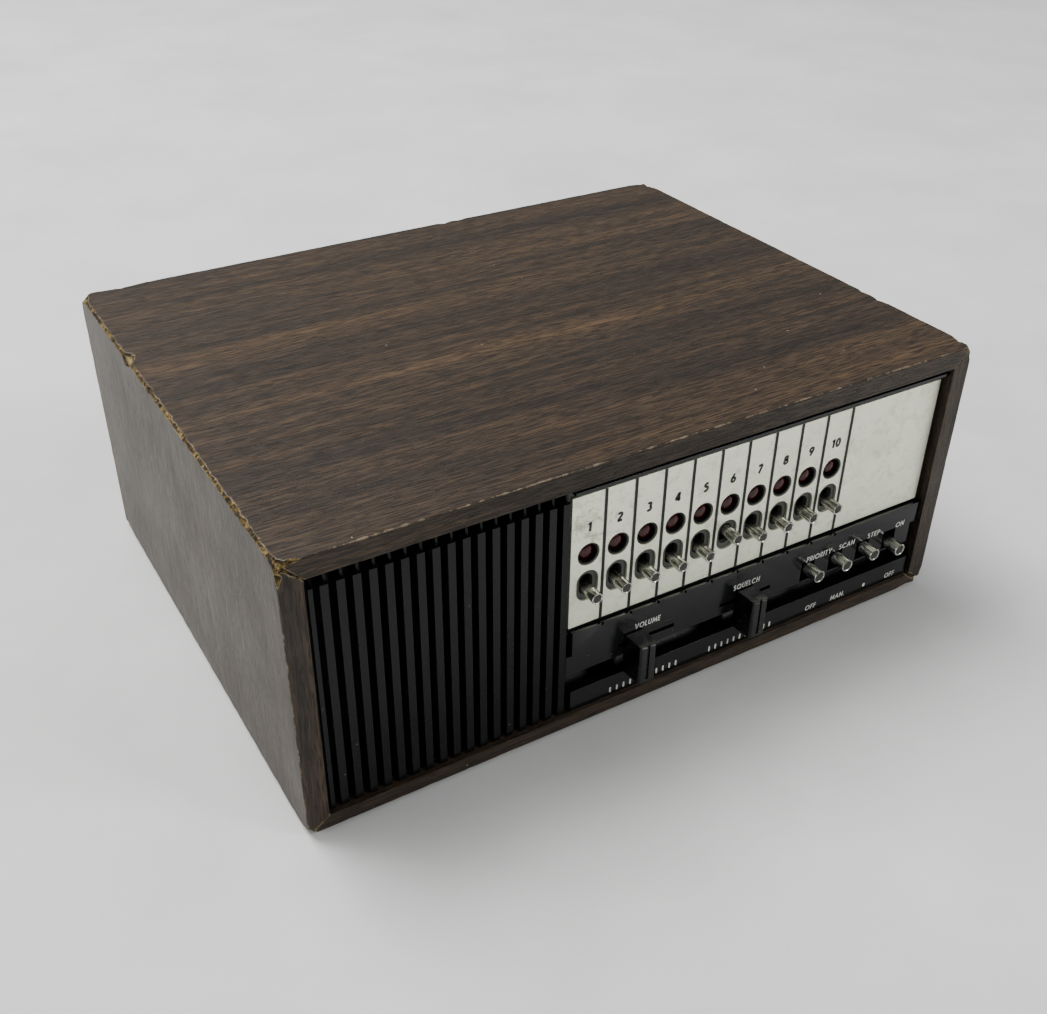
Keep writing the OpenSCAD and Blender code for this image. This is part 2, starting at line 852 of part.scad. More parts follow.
// Flat cans with rounded ends
module crystals() {
    can_w = 11;
    can_t = 4.6;
    can_h = 13.4;
    color(silver) place()
        for (k = [0 : ch_n - 1])
            translate([rec_l + crystal_inset + k * crystal_pitch, crystal_y, rec_top + socket_h]) union() {
                translate([-(can_w - can_t) / 2, -can_t / 2, 0]) cube([can_w - can_t, can_t, can_h]);
                for (s = [-1, 1])
                    translate([s * (can_w - can_t) / 2, 0, 0]) cylinder(d = can_t, h = can_h, $fn = fine);
            }
}

module coil_cans() {
    can = 10;
    can_h = 12.5;
    coil_pitch = 18;
    core_hole_d = 4;
    core_deep = 3;
    color(silver) place()
        for (i = [0 : 5])
            translate([rec_l + 22 + i * coil_pitch, coil_y, rec_top]) difference() {
                translate([-can / 2, -can / 2, 0]) cube([can, can, can_h]);
                translate([0, 0, can_h - core_deep])
                    cylinder(d = core_hole_d, h = core_deep + cut, $fn = fine);
            }
}

module logic_chips() {
    chip_l = 19.4;
    chip_w = 6.4;
    chip_h = 4;
    step_x = 26;
    step_y = 16;
    color(black_matte) place()
        for (i = [0 : 4])
            for (j = [0 : 1])
                translate([rec_l + 24 + i * step_x, chip_y + j * step_y, rec_top])
                    translate([-chip_l / 2, -chip_w / 2, 0]) cube([chip_l, chip_w, chip_h]);
}

module capacitors() {
    sleeve_d = 13;
    sleeve_h = 24;
    step_x = 24;
    color("#5a6d84") place()
        for (i = [0 : 3])
            translate([rec_l + 30 + i * step_x, rec_back - 16, rec_top])
                cylinder(d = sleeve_d, h = sleeve_h, $fn = fine);
}

module transformer_core() {
    color("#54504a") place() translate([trafo_x, trafo_y, floor_top]) difference() {
        block(-core_w / 2, core_w / 2, -core_d / 2, core_d / 2, 0, core_h);
        for (s = [-1, 1])
            block(s * (leg_w + window_w) / 2 - window_w / 2,
                s * (leg_w + window_w) / 2 + window_w / 2,
                -core_d / 2 - cut, core_d / 2 + cut, window_w, core_h - window_w);
    }
}

module transformer_coil() {
    coil_d = 30;
    gap = 0.3;
    half = leg_w / 2 + window_w - gap;
    color("#b08d57") place() translate([trafo_x, trafo_y, floor_top]) difference() {
        block(-half, half, -coil_d / 2, coil_d / 2, window_w + gap, core_h - window_w - gap);
        block(-leg_w / 2, leg_w / 2, -core_d / 2, core_d / 2, 0, core_h);
    }
}

module transformer_strap() {
    out = core_w / 2 + strap_t;
    deep = core_d / 2 - 2;
    color(steel) place() translate([trafo_x, trafo_y, floor_top]) difference() {
        union() {
            block(-out, out, -deep, deep, 0, core_h + strap_t);
            block(-out - strap_foot, out + strap_foot, -deep, deep, 0, strap_t);
        }
        block(-core_w / 2, core_w / 2, -deep - cut, deep + cut, -cut, core_h);
        for (s = [-1, 1])
            translate([s * (out + strap_foot / 2), 0, -cut])
                cylinder(d = strap_hole_d, h = strap_t + 2 * cut, $fn = fine);
    }
}

module strap_screws() {
    out = core_w / 2 + strap_t + strap_foot / 2;
    color(steel) place()
        for (s = [-1, 1])
            translate([trafo_x + s * out, trafo_y, floor_top]) {
                cylinder(d = strap_hole_d, h = strap_t, $fn = fine);
                translate([0, 0, strap_t]) cylinder(d = strap_head_d, h = head_h, $fn = fine);
            }
}

// ---- Sockets on the back panel ----

// Threaded coaxial socket: square flange, barrel, insulator floor and centre contact
module aerial_socket() {
    tip = cab_d + aerial_reach;
    flange_t = 2;
    tail = 6;
    deep = 12;
    floor_t = 1;
    centre_out_d = 6;
    centre_d = 4;
    centre_in = 3;
    color(nickel) place() difference() {
        union() {
            block(aerial_x - aerial_flange / 2, aerial_x + aerial_flange / 2, back_out, back_out + flange_t,
                aerial_z - aerial_flange / 2, aerial_z + aerial_flange / 2);
            rod(aerial_x, aerial_z, back_out, tip, aerial_d);
            rod(aerial_x, aerial_z, back_wall - tail, back_out, aerial_hole);
        }
        difference() {
            rod(aerial_x, aerial_z, tip - deep + floor_t, tip + cut, aerial_bore);
            rod(aerial_x, aerial_z, tip - deep, tip - centre_in, centre_out_d);
        }
        rod(aerial_x, aerial_z, tip - deep, tip, centre_d);
    }
}

module speaker_socket() {
    half = 5.5;
    body = 14;
    out = 3.5;
    nut_t = 2;
    color(nickel) place() difference() {
        union() {
            block(jack_x - half, jack_x + half, back_wall - body, back_wall,
                socket_z - half, socket_z + half);
            rod(jack_x, socket_z, back_wall, back_out + out, jack_thread_d);
            rod(jack_x, socket_z, back_out, back_out + nut_t, jack_nut_d);
        }
        rod(jack_x, socket_z, back_wall - body + 3, back_out + out + cut, jack_bore);
    }
}

module supply_socket() {
    half = 6;
    body = 10;
    out = 2.5;
    lip_t = 1.5;
    pin_d = 2.1;
    color(black_matte) place() difference() {
        union() {
            block(supply_x - half, supply_x + half, back_wall - body, back_wall,
                socket_z - half, socket_z + half);
            rod(supply_x, socket_z, back_wall, back_out + out, supply_thread_d);
            rod(supply_x, socket_z, back_out, back_out + lip_t, supply_thread_d + 3);
        }
        difference() {
            rod(supply_x, socket_z, back_wall - body + 2, back_out + out + cut, supply_bore);
            rod(supply_x, socket_z, back_wall - body + 2, back_out + 1, pin_d);
        }
    }
}

module fuse_holder() {
    body = 26;
    cap_h = 6.5;
    slot_l = 9;
    slot_t = 1.3;
    slot_w = 1.6;
    color(black_matte) place() difference() {
        union() {
            rod(fuse_x, socket_z, back_wall - body, back_out, fuse_d);
            rod(fuse_x, socket_z, back_out, back_out + cap_h, fuse_d + 3);
        }
        block(fuse_x - slot_l / 2, fuse_x + slot_l / 2, back_out + cap_h - slot_t, back_out + cap_h + cut,
            socket_z - slot_w / 2, socket_z + slot_w / 2);
    }
}

module mains_grommet() {
    lip = 1.6;
    lip_d = grommet_d + 4;
    color(black_matte) place() difference() {
        union() {
            rod(grommet_x, socket_z, back_wall - lip, back_out + lip, grommet_d);
            rod(grommet_x, socket_z, back_out, back_out + lip, lip_d);
            rod(grommet_x, socket_z, back_wall - lip, back_wall, lip_d);
        }
        rod(grommet_x, socket_z, back_wall - lip - cut, back_out + lip + cut, grommet_bore);
    }
}

// ---- What is drawn ----

cabinet_top();
cabinet_bottom();
cabinet_left();
cabinet_right();
feet();
speaker_grille();
grille_cloth();
speaker_basket();
speaker_cone();
speaker_magnet();
speaker_screws();
control_panel();
channel_plate();
channel_dividers();
lamp_holders();
channel_lamps();
for (k = CHANNELS)
    channel_lever(k);
function_lever(0);  // priority_lever
function_lever(1);  // scan_lever
function_lever(2);  // step_lever
function_lever(3);  // power_lever
volume_knob();
volume_slider();
volume_control();
squelch_knob();
squelch_slider();
squelch_control();
channel_switches();
function_switches();
display_board();
display_screws();
chassis();
chassis_screws();
standoffs();
receiver_board();
board_screws();
crystal_sockets();
crystals();
coil_cans();
logic_chips();
capacitors();
transformer_core();
transformer_coil();
transformer_strap();
strap_screws();
aerial_socket();
speaker_socket();
supply_socket();
fuse_holder();
mains_grommet();
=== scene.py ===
# %% [markdown]
# # A ten-channel scanning receiver, finished in Blender
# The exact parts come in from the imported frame, where they keep their places and
# their sizes. This lesson gives each of them its finish, and it makes new surfaces
# for what a plain solid can't show: worn vinyl corners, rolled lever ends, domed
# lamps and printed lettering.

# %% Load the frame
import json
import math
import bmesh
import bpy
import numpy as np
from mathutils import Matrix, Vector

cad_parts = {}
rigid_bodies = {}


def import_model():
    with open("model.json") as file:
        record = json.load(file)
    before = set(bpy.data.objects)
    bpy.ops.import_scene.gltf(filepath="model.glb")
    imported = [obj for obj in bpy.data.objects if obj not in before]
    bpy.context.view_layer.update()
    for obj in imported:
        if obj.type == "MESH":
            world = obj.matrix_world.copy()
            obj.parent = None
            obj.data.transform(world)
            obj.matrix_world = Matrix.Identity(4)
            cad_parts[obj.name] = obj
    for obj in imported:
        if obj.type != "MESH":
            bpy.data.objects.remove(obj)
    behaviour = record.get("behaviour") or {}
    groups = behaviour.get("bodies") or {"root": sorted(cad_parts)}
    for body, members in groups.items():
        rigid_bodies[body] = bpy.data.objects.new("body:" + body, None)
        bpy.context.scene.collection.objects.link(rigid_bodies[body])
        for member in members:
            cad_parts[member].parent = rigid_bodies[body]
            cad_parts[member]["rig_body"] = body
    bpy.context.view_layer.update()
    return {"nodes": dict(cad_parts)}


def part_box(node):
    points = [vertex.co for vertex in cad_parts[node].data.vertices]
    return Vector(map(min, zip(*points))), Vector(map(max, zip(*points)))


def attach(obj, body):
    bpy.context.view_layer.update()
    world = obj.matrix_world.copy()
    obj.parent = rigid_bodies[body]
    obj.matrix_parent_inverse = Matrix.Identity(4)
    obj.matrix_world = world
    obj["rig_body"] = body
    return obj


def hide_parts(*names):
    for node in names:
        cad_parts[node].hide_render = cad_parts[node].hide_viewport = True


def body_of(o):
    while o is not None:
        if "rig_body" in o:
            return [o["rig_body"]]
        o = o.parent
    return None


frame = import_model()
MM = 0.001

# %% [markdown]
# The camera stands to the left of the front and looks down on it by a third of a
# right angle. Its place is measured from the middle of the cabinet's front lower
# edge, so it follows the object if the object is moved. A camera looks along its
# own -Z, so the three axes of its matrix are right, up and backward.

# %% Camera
LENS_MM = 42.03
FROM_FRONT_EDGE = Vector((-0.2126, -0.2590, 0.2998))
AZIMUTH, ELEVATION, ROLL = (math.radians(a) for a in (-31.19, 33.60, 0.618))
front_middle = Vector((0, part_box("cabinet_top")[0].y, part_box("cabinet_bottom")[0].z))
backward = Vector((
    math.sin(AZIMUTH) * math.cos(ELEVATION),
    -math.cos(AZIMUTH) * math.cos(ELEVATION),
    math.sin(ELEVATION),
))
level_right = Vector((math.cos(AZIMUTH), math.sin(AZIMUTH), 0))
level_up = backward.cross(level_right)
right = math.cos(ROLL) * level_right + math.sin(ROLL) * level_up
up = backward.cross(right)
camera = bpy.data.objects.new("camera", bpy.data.cameras.new("camera"))
camera.data.lens = LENS_MM
camera.matrix_world = Matrix((right, up, backward)).transposed().to_4x4()
camera.location = front_middle + FROM_FRONT_EDGE
bpy.context.collection.objects.link(camera)
bpy.context.scene.camera = camera
print("camera at", [round(c, 3) for c in camera.location])

# %% [markdown]
# Every finish below is a network of shader nodes. This small helper adds a node,
# fills its sockets and hands back an output, so a finish reads as a few sentences
# rather than as a page of links.

# %% Helper for shader nodes
def rgb(code):
    """A colour such as "c9cbc0" as the linear values that a shader works in."""
    part = np.array([int(code[i:i + 2], 16) for i in (0, 2, 4)]) / 255
    linear = np.where(part <= 0.04045, part / 12.92, ((part + 0.055) / 1.055) ** 2.4)
    return (*linear.tolist(), 1.0)


class Net:
    """The nodes of one material or group."""

    def __init__(self, tree):
        self.tree = tree

    def plug(self, value, socket):
        """Links an output to the socket, or sets the socket to a plain value."""
        if isinstance(value, bpy.types.NodeSocket):
            self.tree.links.new(value, socket)
        else:
            socket.default_value = value

    def node(self, kind, settings=None, **values):
        """A shader node with its own settings and with values or links on its inputs."""
        made = self.tree.nodes.new("ShaderNode" + kind)
        for name, value in (settings or {}).items():
            setattr(made, name, value)
        for name, value in values.items():
            self.plug(value, made.inputs[name.replace("_", " ")])
        return made

    def ends(self, kind):
        """The input or output node of a group."""
        return self.tree.nodes.new("Node" + kind)

    def math(self, operation, *values):
        made = self.node("Math", {"operation": operation})
        for value, socket in zip(values, made.inputs):
            self.plug(value, socket)
        return made.outputs[0]

    def stretch(self, vector, scale, turn=(0, 0, 0)):
        return self.node("Mapping", Vector=vector, Scale=scale, Rotation=turn).outputs[0]

    def noise(self, vector, scale, detail=2.0, rough=0.5):
        made = self.node("TexNoise", Vector=vector, Scale=scale, Detail=detail, Roughness=rough)
        return made.outputs["Fac"]

    def between(self, value, low, high, out_low=0.0, out_high=1.0):
        """value carried from low..high to out_low..out_high, and held there."""
        made = self.node("MapRange", Value=value, From_Min=low, From_Max=high,
                         To_Min=out_low, To_Max=out_high)
        return made.outputs[0]

    def mix(self, factor, a, b, how="MIX"):
        made = self.node("Mix", {"data_type": "RGBA", "blend_type": how})
        for value, index in ((factor, 0), (a, 6), (b, 7)):
            self.plug(value, made.inputs[index])
        return made.outputs[2]

    def ramp(self, value, stops):
        made = self.node("ValToRGB", Fac=value)
        made.color_ramp.elements.remove(made.color_ramp.elements[1])
        made.color_ramp.elements[0].position = stops[0][0]
        made.color_ramp.elements[0].color = rgb(stops[0][1])
        for place, code in stops[1:]:
            made.color_ramp.elements.new(place).color = rgb(code)
        return made.outputs[0]


print("mid grey, 808080, is", round(rgb("808080")[0], 3), "of full light")

# %% [markdown]
# An effect that several finishes share is a group: a small network with named
# inputs and outputs, built once. A finish begins at the Principled shader and reads
# the object's own coordinates, so that its pattern stays with the piece when it
# moves. At the end its colour, roughness and relief are joined to the shader.

# %% Groups and materials
def group(name, inputs, outputs):
    """An empty shader group: its net, its input sockets and its output sockets."""
    tree = bpy.data.node_groups.new(name, "ShaderNodeTree")
    for label, kind, default in inputs:
        socket = tree.interface.new_socket(label, in_out="INPUT", socket_type="NodeSocket" + kind)
        if default is not None:
            socket.default_value = default
    for label, kind in outputs:
        tree.interface.new_socket(label, in_out="OUTPUT", socket_type="NodeSocket" + kind)
    net = Net(tree)
    return net, net.ends("GroupInput").outputs, net.ends("GroupOutput").inputs


def use(net, name, **values):
    """Places a group in a net and returns its outputs."""
    made = net.tree.nodes.new("ShaderNodeGroup")
    made.node_tree = bpy.data.node_groups[name]
    for label, value in values.items():
        net.plug(value, made.inputs[label])
    return made.outputs


def start(name):
    """A new material: its net, its Principled shader and its object coordinates."""
    material = bpy.data.materials.new(name)
    material.use_nodes = True
    shader = material.node_tree.nodes["Principled BSDF"]
    net = Net(material.node_tree)
    return material, net, shader, net.node("TexCoord").outputs["Object"]


def surface(net, shader, color=None, roughness=None, height=None, relief=0.1 * MM, **own):
    """Joins colour, roughness and relief to the shader. `own` values go on its own sockets."""
    if color is not None:
        net.plug(color, shader.inputs["Base Color"])
    if roughness is not None:
        net.plug(roughness, shader.inputs["Roughness"])
    if height is not None:
        bump = net.node("Bump", Height=height, Strength=1.0, Distance=relief)
        net.plug(bump.outputs[0], shader.inputs["Normal"])
    for name, value in own.items():
        shader.inputs[name.replace("_", " ")].default_value = value


print("groups and materials can be made")

# %% [markdown]
# The receiver stands on pale seamless paper. The paper has a faint cloudiness, and
# far off it grows paler, so that its end is soft. A coarse grid is enough for a flat
# floor.

# %% Floor
def floor_paper():
    """Cloudy pale paper that goes over to nearly white between 1.2 and 5 m away."""
    material, net, shader, at = start("floor_paper")
    cloud = net.noise(at, 9.0, 5.0, 0.6)
    near = net.ramp(cloud, [(0.3, "cfd1cf"), (0.7, "dfe1df")])
    away = net.node("VectorMath", {"operation": "LENGTH"}, Vector=at).outputs["Value"]
    color = net.mix(net.between(away, 1.2, 5.0), near, rgb("f8f9f8"))
    surface(net, shader, color, Roughness=0.9)
    return material


FLOOR_HALF, ROWS = 9.0, 5
across = np.linspace(-FLOOR_HALF, FLOOR_HALF, ROWS)
floor_x, floor_y = np.meshgrid(across, across, indexing="ij")
floor_mesh = bpy.data.meshes.new("floor")
floor_points = np.stack([floor_x, floor_y, 0 * floor_x], axis=-1).reshape(-1, 3)
corner = (np.arange(ROWS - 1)[:, None] * ROWS + np.arange(ROWS - 1)).ravel()
floor_faces = np.stack([corner, corner + ROWS, corner + ROWS + 1, corner + 1], axis=-1)
floor_mesh.from_pydata(floor_points.tolist(), [], floor_faces.tolist())
floor = bpy.data.objects.new("floor", floor_mesh)
floor.data.materials.append(floor_paper())
bpy.context.collection.objects.link(floor)
print("floor of", len(floor_faces), "faces,", 2 * FLOOR_HALF, "m a side")

# %% [markdown]
# A large soft light stands behind and above, with the pale room all round. Gloss
# shows only what it reflects, so the brightness of the room is what makes the black
# mouldings read as dark grey. A small window light at the right front puts the
# highlights on the levers, and a pale wall lights the left side.

# %% Room and lights
ROOM_TINT, ROOM_STRENGTH = (0.98, 1.0, 0.99, 1.0), 0.33
WHITE, WALL_TINT = (1.0, 1.0, 1.0), (1.0, 0.965, 0.92)
# Name, place, aim, side in m, watts, tint
LIGHTS = [
    ("ceiling", (-0.6, 1.0, 2.2), (0, 0, 0), 1.4, 93, WHITE),
    ("window", (1.4, -1.8, 1.6), (0, 0, 0.05), 0.6, 26, WHITE),
    ("left_wall", (-2.4, 0.5, 0.9), (0, 0, 0.05), 1.4, 25, WALL_TINT),
]


def soft_light(name, place, aim, size, watts, tint):
    """A square area light at `place` that faces `aim`."""
    lamp = bpy.data.lights.new(name, "AREA")
    lamp.size = size
    lamp.energy = watts
    lamp.color = tint
    made = bpy.data.objects.new(name, lamp)
    made.location = place
    made.rotation_mode = "QUATERNION"
    made.rotation_quaternion = (Vector(aim) - Vector(place)).to_track_quat("-Z", "Y")
    bpy.context.collection.objects.link(made)


world = bpy.data.worlds.new("room")
world.use_nodes = True
background = world.node_tree.nodes["Background"]
background.inputs["Color"].default_value = ROOM_TINT
background.inputs["Strength"].default_value = ROOM_STRENGTH
bpy.context.scene.world = world
for light in LIGHTS:
    soft_light(*light)
print(len(LIGHTS), "lights and the room")

# %% [markdown]
# Three effects turn up on more than one material: specks of dust, fine scuffs and
# brushing. Each is a group with its own settings, and each puts out only a mask.

# %% Shared effects
def make_dust():
    """Specks: `Scale` cells to the metre with a dot in each, of which a share `Amount` shows."""
    net, given, out = group("dust", [("Vector", "Vector", None), ("Scale", "Float", 250.0),
                                     ("Amount", "Float", 0.2)], [("Mask", "Float")])
    cells = net.node("TexVoronoi", Vector=given["Vector"], Scale=given["Scale"])
    dot = net.between(cells.outputs["Distance"], 0.05, 0.10, 1.0, 0.0)
    pick = net.node("SeparateColor", Color=cells.outputs["Color"]).outputs[0]
    shown = net.math("LESS_THAN", pick, given["Amount"])
    net.plug(net.math("MULTIPLY", dot, shown), out["Mask"])


def make_scuffs():
    """Fine scratches: noise drawn out along two directions and cut off near its peaks."""
    net, given, out = group("scuffs", [("Vector", "Vector", None), ("Amount", "Float", 0.5)],
                            [("Mask", "Float")])
    one = net.noise(net.stretch(given["Vector"], (60, 60, 2200), (0.2, 0.5, 0.1)), 1.0)
    two = net.noise(net.stretch(given["Vector"], (2400, 70, 70), (0.3, 0.2, 0.7)), 1.0)
    both = net.math("MAXIMUM", one, two)
    cut = net.math("SUBTRACT", 0.82, net.math("MULTIPLY", given["Amount"], 0.12))
    over = net.math("SUBTRACT", both, cut)
    net.plug(net.between(over, 0.0, 0.06), out["Mask"])


def make_brushing():
    """Streaks along Y: noise that hardly changes along Y and changes fast across it."""
    net, given, out = group("brushing", [("Vector", "Vector", None), ("Fineness", "Float", 2500.0)],
                            [("Streaks", "Float")])
    flat = net.node("VectorMath", {"operation": "MULTIPLY"})
    net.plug(given["Vector"], flat.inputs[0])
    flat.inputs[1].default_value = (1.0, 0.02, 1.0)
    net.plug(net.noise(flat.outputs[0], given["Fineness"], 3.0, 0.6), out["Streaks"])


make_dust()
make_scuffs()
make_brushing()
print("shared groups", [g.name for g in bpy.data.node_groups])

# %% [markdown]
# The cabinet is particle board under a vinyl film printed as walnut. The print has
# bands a finger wide, veins a few millimetres wide, fine fibres, and dark pores like
# short dashes. All of them are one kind of noise, drawn out along the grain by
# different amounts, and a slow noise makes them sway. The broken board under the
# film is golden chips with dark gaps.

# %% Walnut print and bare board
# How often each part of the print repeats in a metre, along the grain and across it
SWAY, BANDS, VEINS = (2.2, 9.0, 9.0), (3, 48, 48), (4, 230, 230)
FIBRES, PORES = (60, 1900, 1900), (125, 2700, 2700)
SWAY_REACH = 0.010


def make_walnut_print():
    """Walnut with its grain along X: colour and relief from noises drawn out along X."""
    net, given, out = group("walnut_print", [("Vector", "Vector", None), ("Figure", "Float", 1.0)],
                            [("Color", "Color"), ("Height", "Float")])
    slow = net.node("TexNoise", Vector=net.stretch(given["Vector"], SWAY), Scale=1.0, Detail=2.0)
    warp = net.node("VectorMath", {"operation": "MULTIPLY_ADD"})
    net.plug(slow.outputs["Color"], warp.inputs[0])
    warp.inputs[1].default_value = (0.0, SWAY_REACH, SWAY_REACH)
    net.plug(given["Vector"], warp.inputs[2])
    grain = warp.outputs[0]
    bands = net.noise(net.stretch(grain, BANDS), 1.0, 3.0, 0.6)
    veins = net.noise(net.stretch(grain, VEINS), 1.0, 4.0, 0.6)
    fibres = net.noise(net.stretch(grain, FIBRES), 1.0, 2.0, 0.6)
    pores = net.noise(net.stretch(grain, PORES), 1.0, 1.0, 0.5)
    figure = net.math("MULTIPLY", net.math("SUBTRACT", bands, 0.5), given["Figure"])
    tone = net.math("MULTIPLY_ADD", veins, 0.34, net.math("MULTIPLY", fibres, 0.24))
    tone = net.math("ADD", net.math("MULTIPLY_ADD", figure, 0.34, tone), 0.21)
    wood = net.ramp(tone, [(0.38, "1f1914"), (0.47, "31261d"), (0.55, "433425"), (0.66, "5e4830")])
    dark = net.between(pores, 0.52, 0.58)
    wood = net.mix(net.math("MULTIPLY", dark, 0.82), wood, rgb("150e09"))
    net.plug(wood, out["Color"])
    lift = net.math("MULTIPLY_ADD", dark, -0.8, fibres)
    net.plug(lift, out["Height"])


def make_bare_board():
    """Broken particle board: golden chips with dark gaps between them."""
    net, given, out = group("bare_board", [("Vector", "Vector", None)],
                            [("Color", "Color"), ("Height", "Float")])
    chips = net.noise(given["Vector"], 700.0, 3.0, 0.65)
    crumbs = net.noise(given["Vector"], 2300.0, 2.0, 0.6)
    patch = net.noise(given["Vector"], 130.0, 2.0)
    both = net.math("MULTIPLY_ADD", crumbs, 0.30, net.math("MULTIPLY", chips, 0.60))
    both = net.math("MULTIPLY_ADD", patch, 0.25, net.math("SUBTRACT", both, 0.075))
    stops = [(0.42, "0d0904"), (0.48, "2b200d"), (0.55, "5a471d"), (0.67, "a8925a")]
    net.plug(net.ramp(both, stops), out["Color"])
    net.plug(both, out["Height"])


make_walnut_print()
make_bare_board()
print("groups", [tree.name for tree in bpy.data.node_groups])

# %% [markdown]
# The mesh of each board carries a number called bare: how far, in millimetres, wear
# has cut into it. Near zero the film is only rubbed pale. Above that it has torn
# off, along a ragged border drawn by noise, and the golden board shows instead. The
# grain runs across on the top and upright on the sides, so there are two finishes.

# %% Worn walnut vinyl
VINYL_RELIEF = 0.16 * MM


def walnut(name, turn, figure):
    """Vinyl over particle board. `turn` holds the angles from X to its grain, and `figure` is how
    strong its bands are."""
    material, net, shader, at = start(name)
    film = use(net, "walnut_print", Vector=net.stretch(at, (1, 1, 1), turn), Figure=figure)
    board = use(net, "bare_board", Vector=at)
    worn = net.node("Attribute", {"attribute_name": "bare"}).outputs["Fac"]
    torn = net.noise(at, 1100.0, 3.0, 0.7)
    mask = net.between(net.math("MULTIPLY_ADD", torn, 0.9, worn), 0.60, 0.66)
    patchy = net.noise(at, 240.0, 4.0, 0.7)
    rubbed = net.between(net.math("MULTIPLY_ADD", patchy, 1.5, worn), 0.62, 0.85)
    dust = use(net, "dust", Vector=at, Scale=300.0, Amount=0.02)["Mask"]
    dusty = net.mix(net.math("MULTIPLY", dust, 0.8), film["Color"], rgb("b8b2a5"))
    pale = net.mix(net.math("MULTIPLY", rubbed, 0.6), dusty, rgb("94836a"))
    # Where the wear cuts deeper than 1.3 mm the bare board goes paler gold, up to a share of 0.55 at 3 mm.
    deep_paler = net.between(worn, 1.3, 3.0, 0.0, 0.55)
    color = net.mix(mask, pale, net.mix(deep_paler, board["Color"], rgb("b39d66")))
    sheen = net.between(net.noise(at, 30.0, 3.0), 0.3, 0.7, 0.42, 0.50)
    roughness = net.math("MULTIPLY_ADD", mask, 0.4, sheen)
    height = net.mix(mask, film["Height"], board["Height"])
    surface(net, shader, color, roughness, height, VINYL_RELIEF, Specular_IOR_Level=0.30)
    return material


walnut_across = walnut("walnut_across", turn=(0, 0, 0), figure=1.0)
walnut_upright = walnut("walnut_upright", turn=(0, math.radians(90), 0), figure=0.3)
print("walnut finishes ready")

# %% [markdown]
# The mouldings are glossy black styrene. The plastic itself is almost black, and
# what the eye sees is the pale room in its smooth skin. Scuffs and dust dull it. In
# the lever windows the panel lies behind the silver plate, and there it is coloured
# a flat dull grey. The feet are matt rubber.

# %% Plastics and rubber
def black_plastic(name, gloss, dust_share, scuff_share, shine=0.4, flat_grey_from=None):
    """Black moulded styrene. `gloss` is its roughness where it is clean and `shine` is how much it
    reflects. What lies behind and above the point (y, z) given last is coloured a flat dull grey."""
    material, net, shader, at = start(name)
    dust = use(net, "dust", Vector=at, Scale=420.0, Amount=dust_share)["Mask"]
    scuff = use(net, "scuffs", Vector=at, Amount=scuff_share)["Mask"]
    haze = net.noise(at, 90.0, 4.0, 0.65)
    base = net.ramp(haze, [(0.3, "060707"), (0.7, "0c0e0e")])
    base = net.mix(net.math("MULTIPLY", scuff, 0.35), base, rgb("5e6163"))
    base = net.mix(net.math("MULTIPLY", dust, 0.7), base, rgb("8f938f"))
    roughness = net.math("MULTIPLY_ADD", scuff, 0.3, net.between(haze, 0.3, 0.75, gloss, gloss + 0.12))
    # Behind the plate and above its lower edge the panel is coloured a flat dull grey and made rougher.
    if flat_grey_from:
        place = net.node("SeparateXYZ", Vector=at).outputs
        deep = net.math("GREATER_THAN", place["Y"], flat_grey_from[0])
        high = net.math("GREATER_THAN", place["Z"], flat_grey_from[1])
        even = net.between(haze, 0.3, 0.7, 0.7, 1.0)
        film = net.math("MULTIPLY", net.math("MULTIPLY", deep, high), even)
        base = net.mix(film, base, rgb("4a4b47"))
        roughness = net.math("MAXIMUM", roughness, net.math("MULTIPLY", film, 0.6))
    height = net.noise(at, 700.0, 2.0)
    surface(net, shader, base, roughness, height, 0.012 * MM, Specular_IOR_Level=shine)
    return material


def rubber():
    """Matt black rubber with dust in its pores."""
    material, net, shader, at = start("rubber")
    pores = net.noise(at, 1800.0, 3.0, 0.7)
    color = net.ramp(pores, [(0.35, "0d0d0d"), (0.75, "2b2a28")])
    surface(net, shader, color, net.between(pores, 0.3, 0.7, 0.7, 0.95), pores, 0.08 * MM)
    return material


behind_plate = (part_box("channel_plate")[1].y - 0.1 * MM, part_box("channel_plate")[0].z)
panel_black = black_plastic("panel_black", gloss=0.13, dust_share=0.10, scuff_share=0.45,
                            shine=0.36, flat_grey_from=behind_plate)
grille_black = black_plastic("grille_black", gloss=0.24, dust_share=0.10, scuff_share=0.35, shine=0.2)
knob_black = black_plastic("knob_black", gloss=0.2, dust_share=0.25, scuff_share=0.8)
inner_black = black_plastic("inner_black", gloss=0.45, dust_share=0.05, scuff_share=0.2)
foot_rubber = rubber()
# The panel is coloured a flat dull grey behind and above this point.
print("flat grey behind and above", [round(place / MM, 1) for place in behind_plate], "mm")

# %% [markdown]
# The plate behind the channel levers is aluminium with a satin brushing. A metal's
# colour is its reflection, so the base colour is set high. Years of handling show
# as cloudy marks, a brown stain in one corner and dark specks, and they go into the
# roughness as much as into the colour.

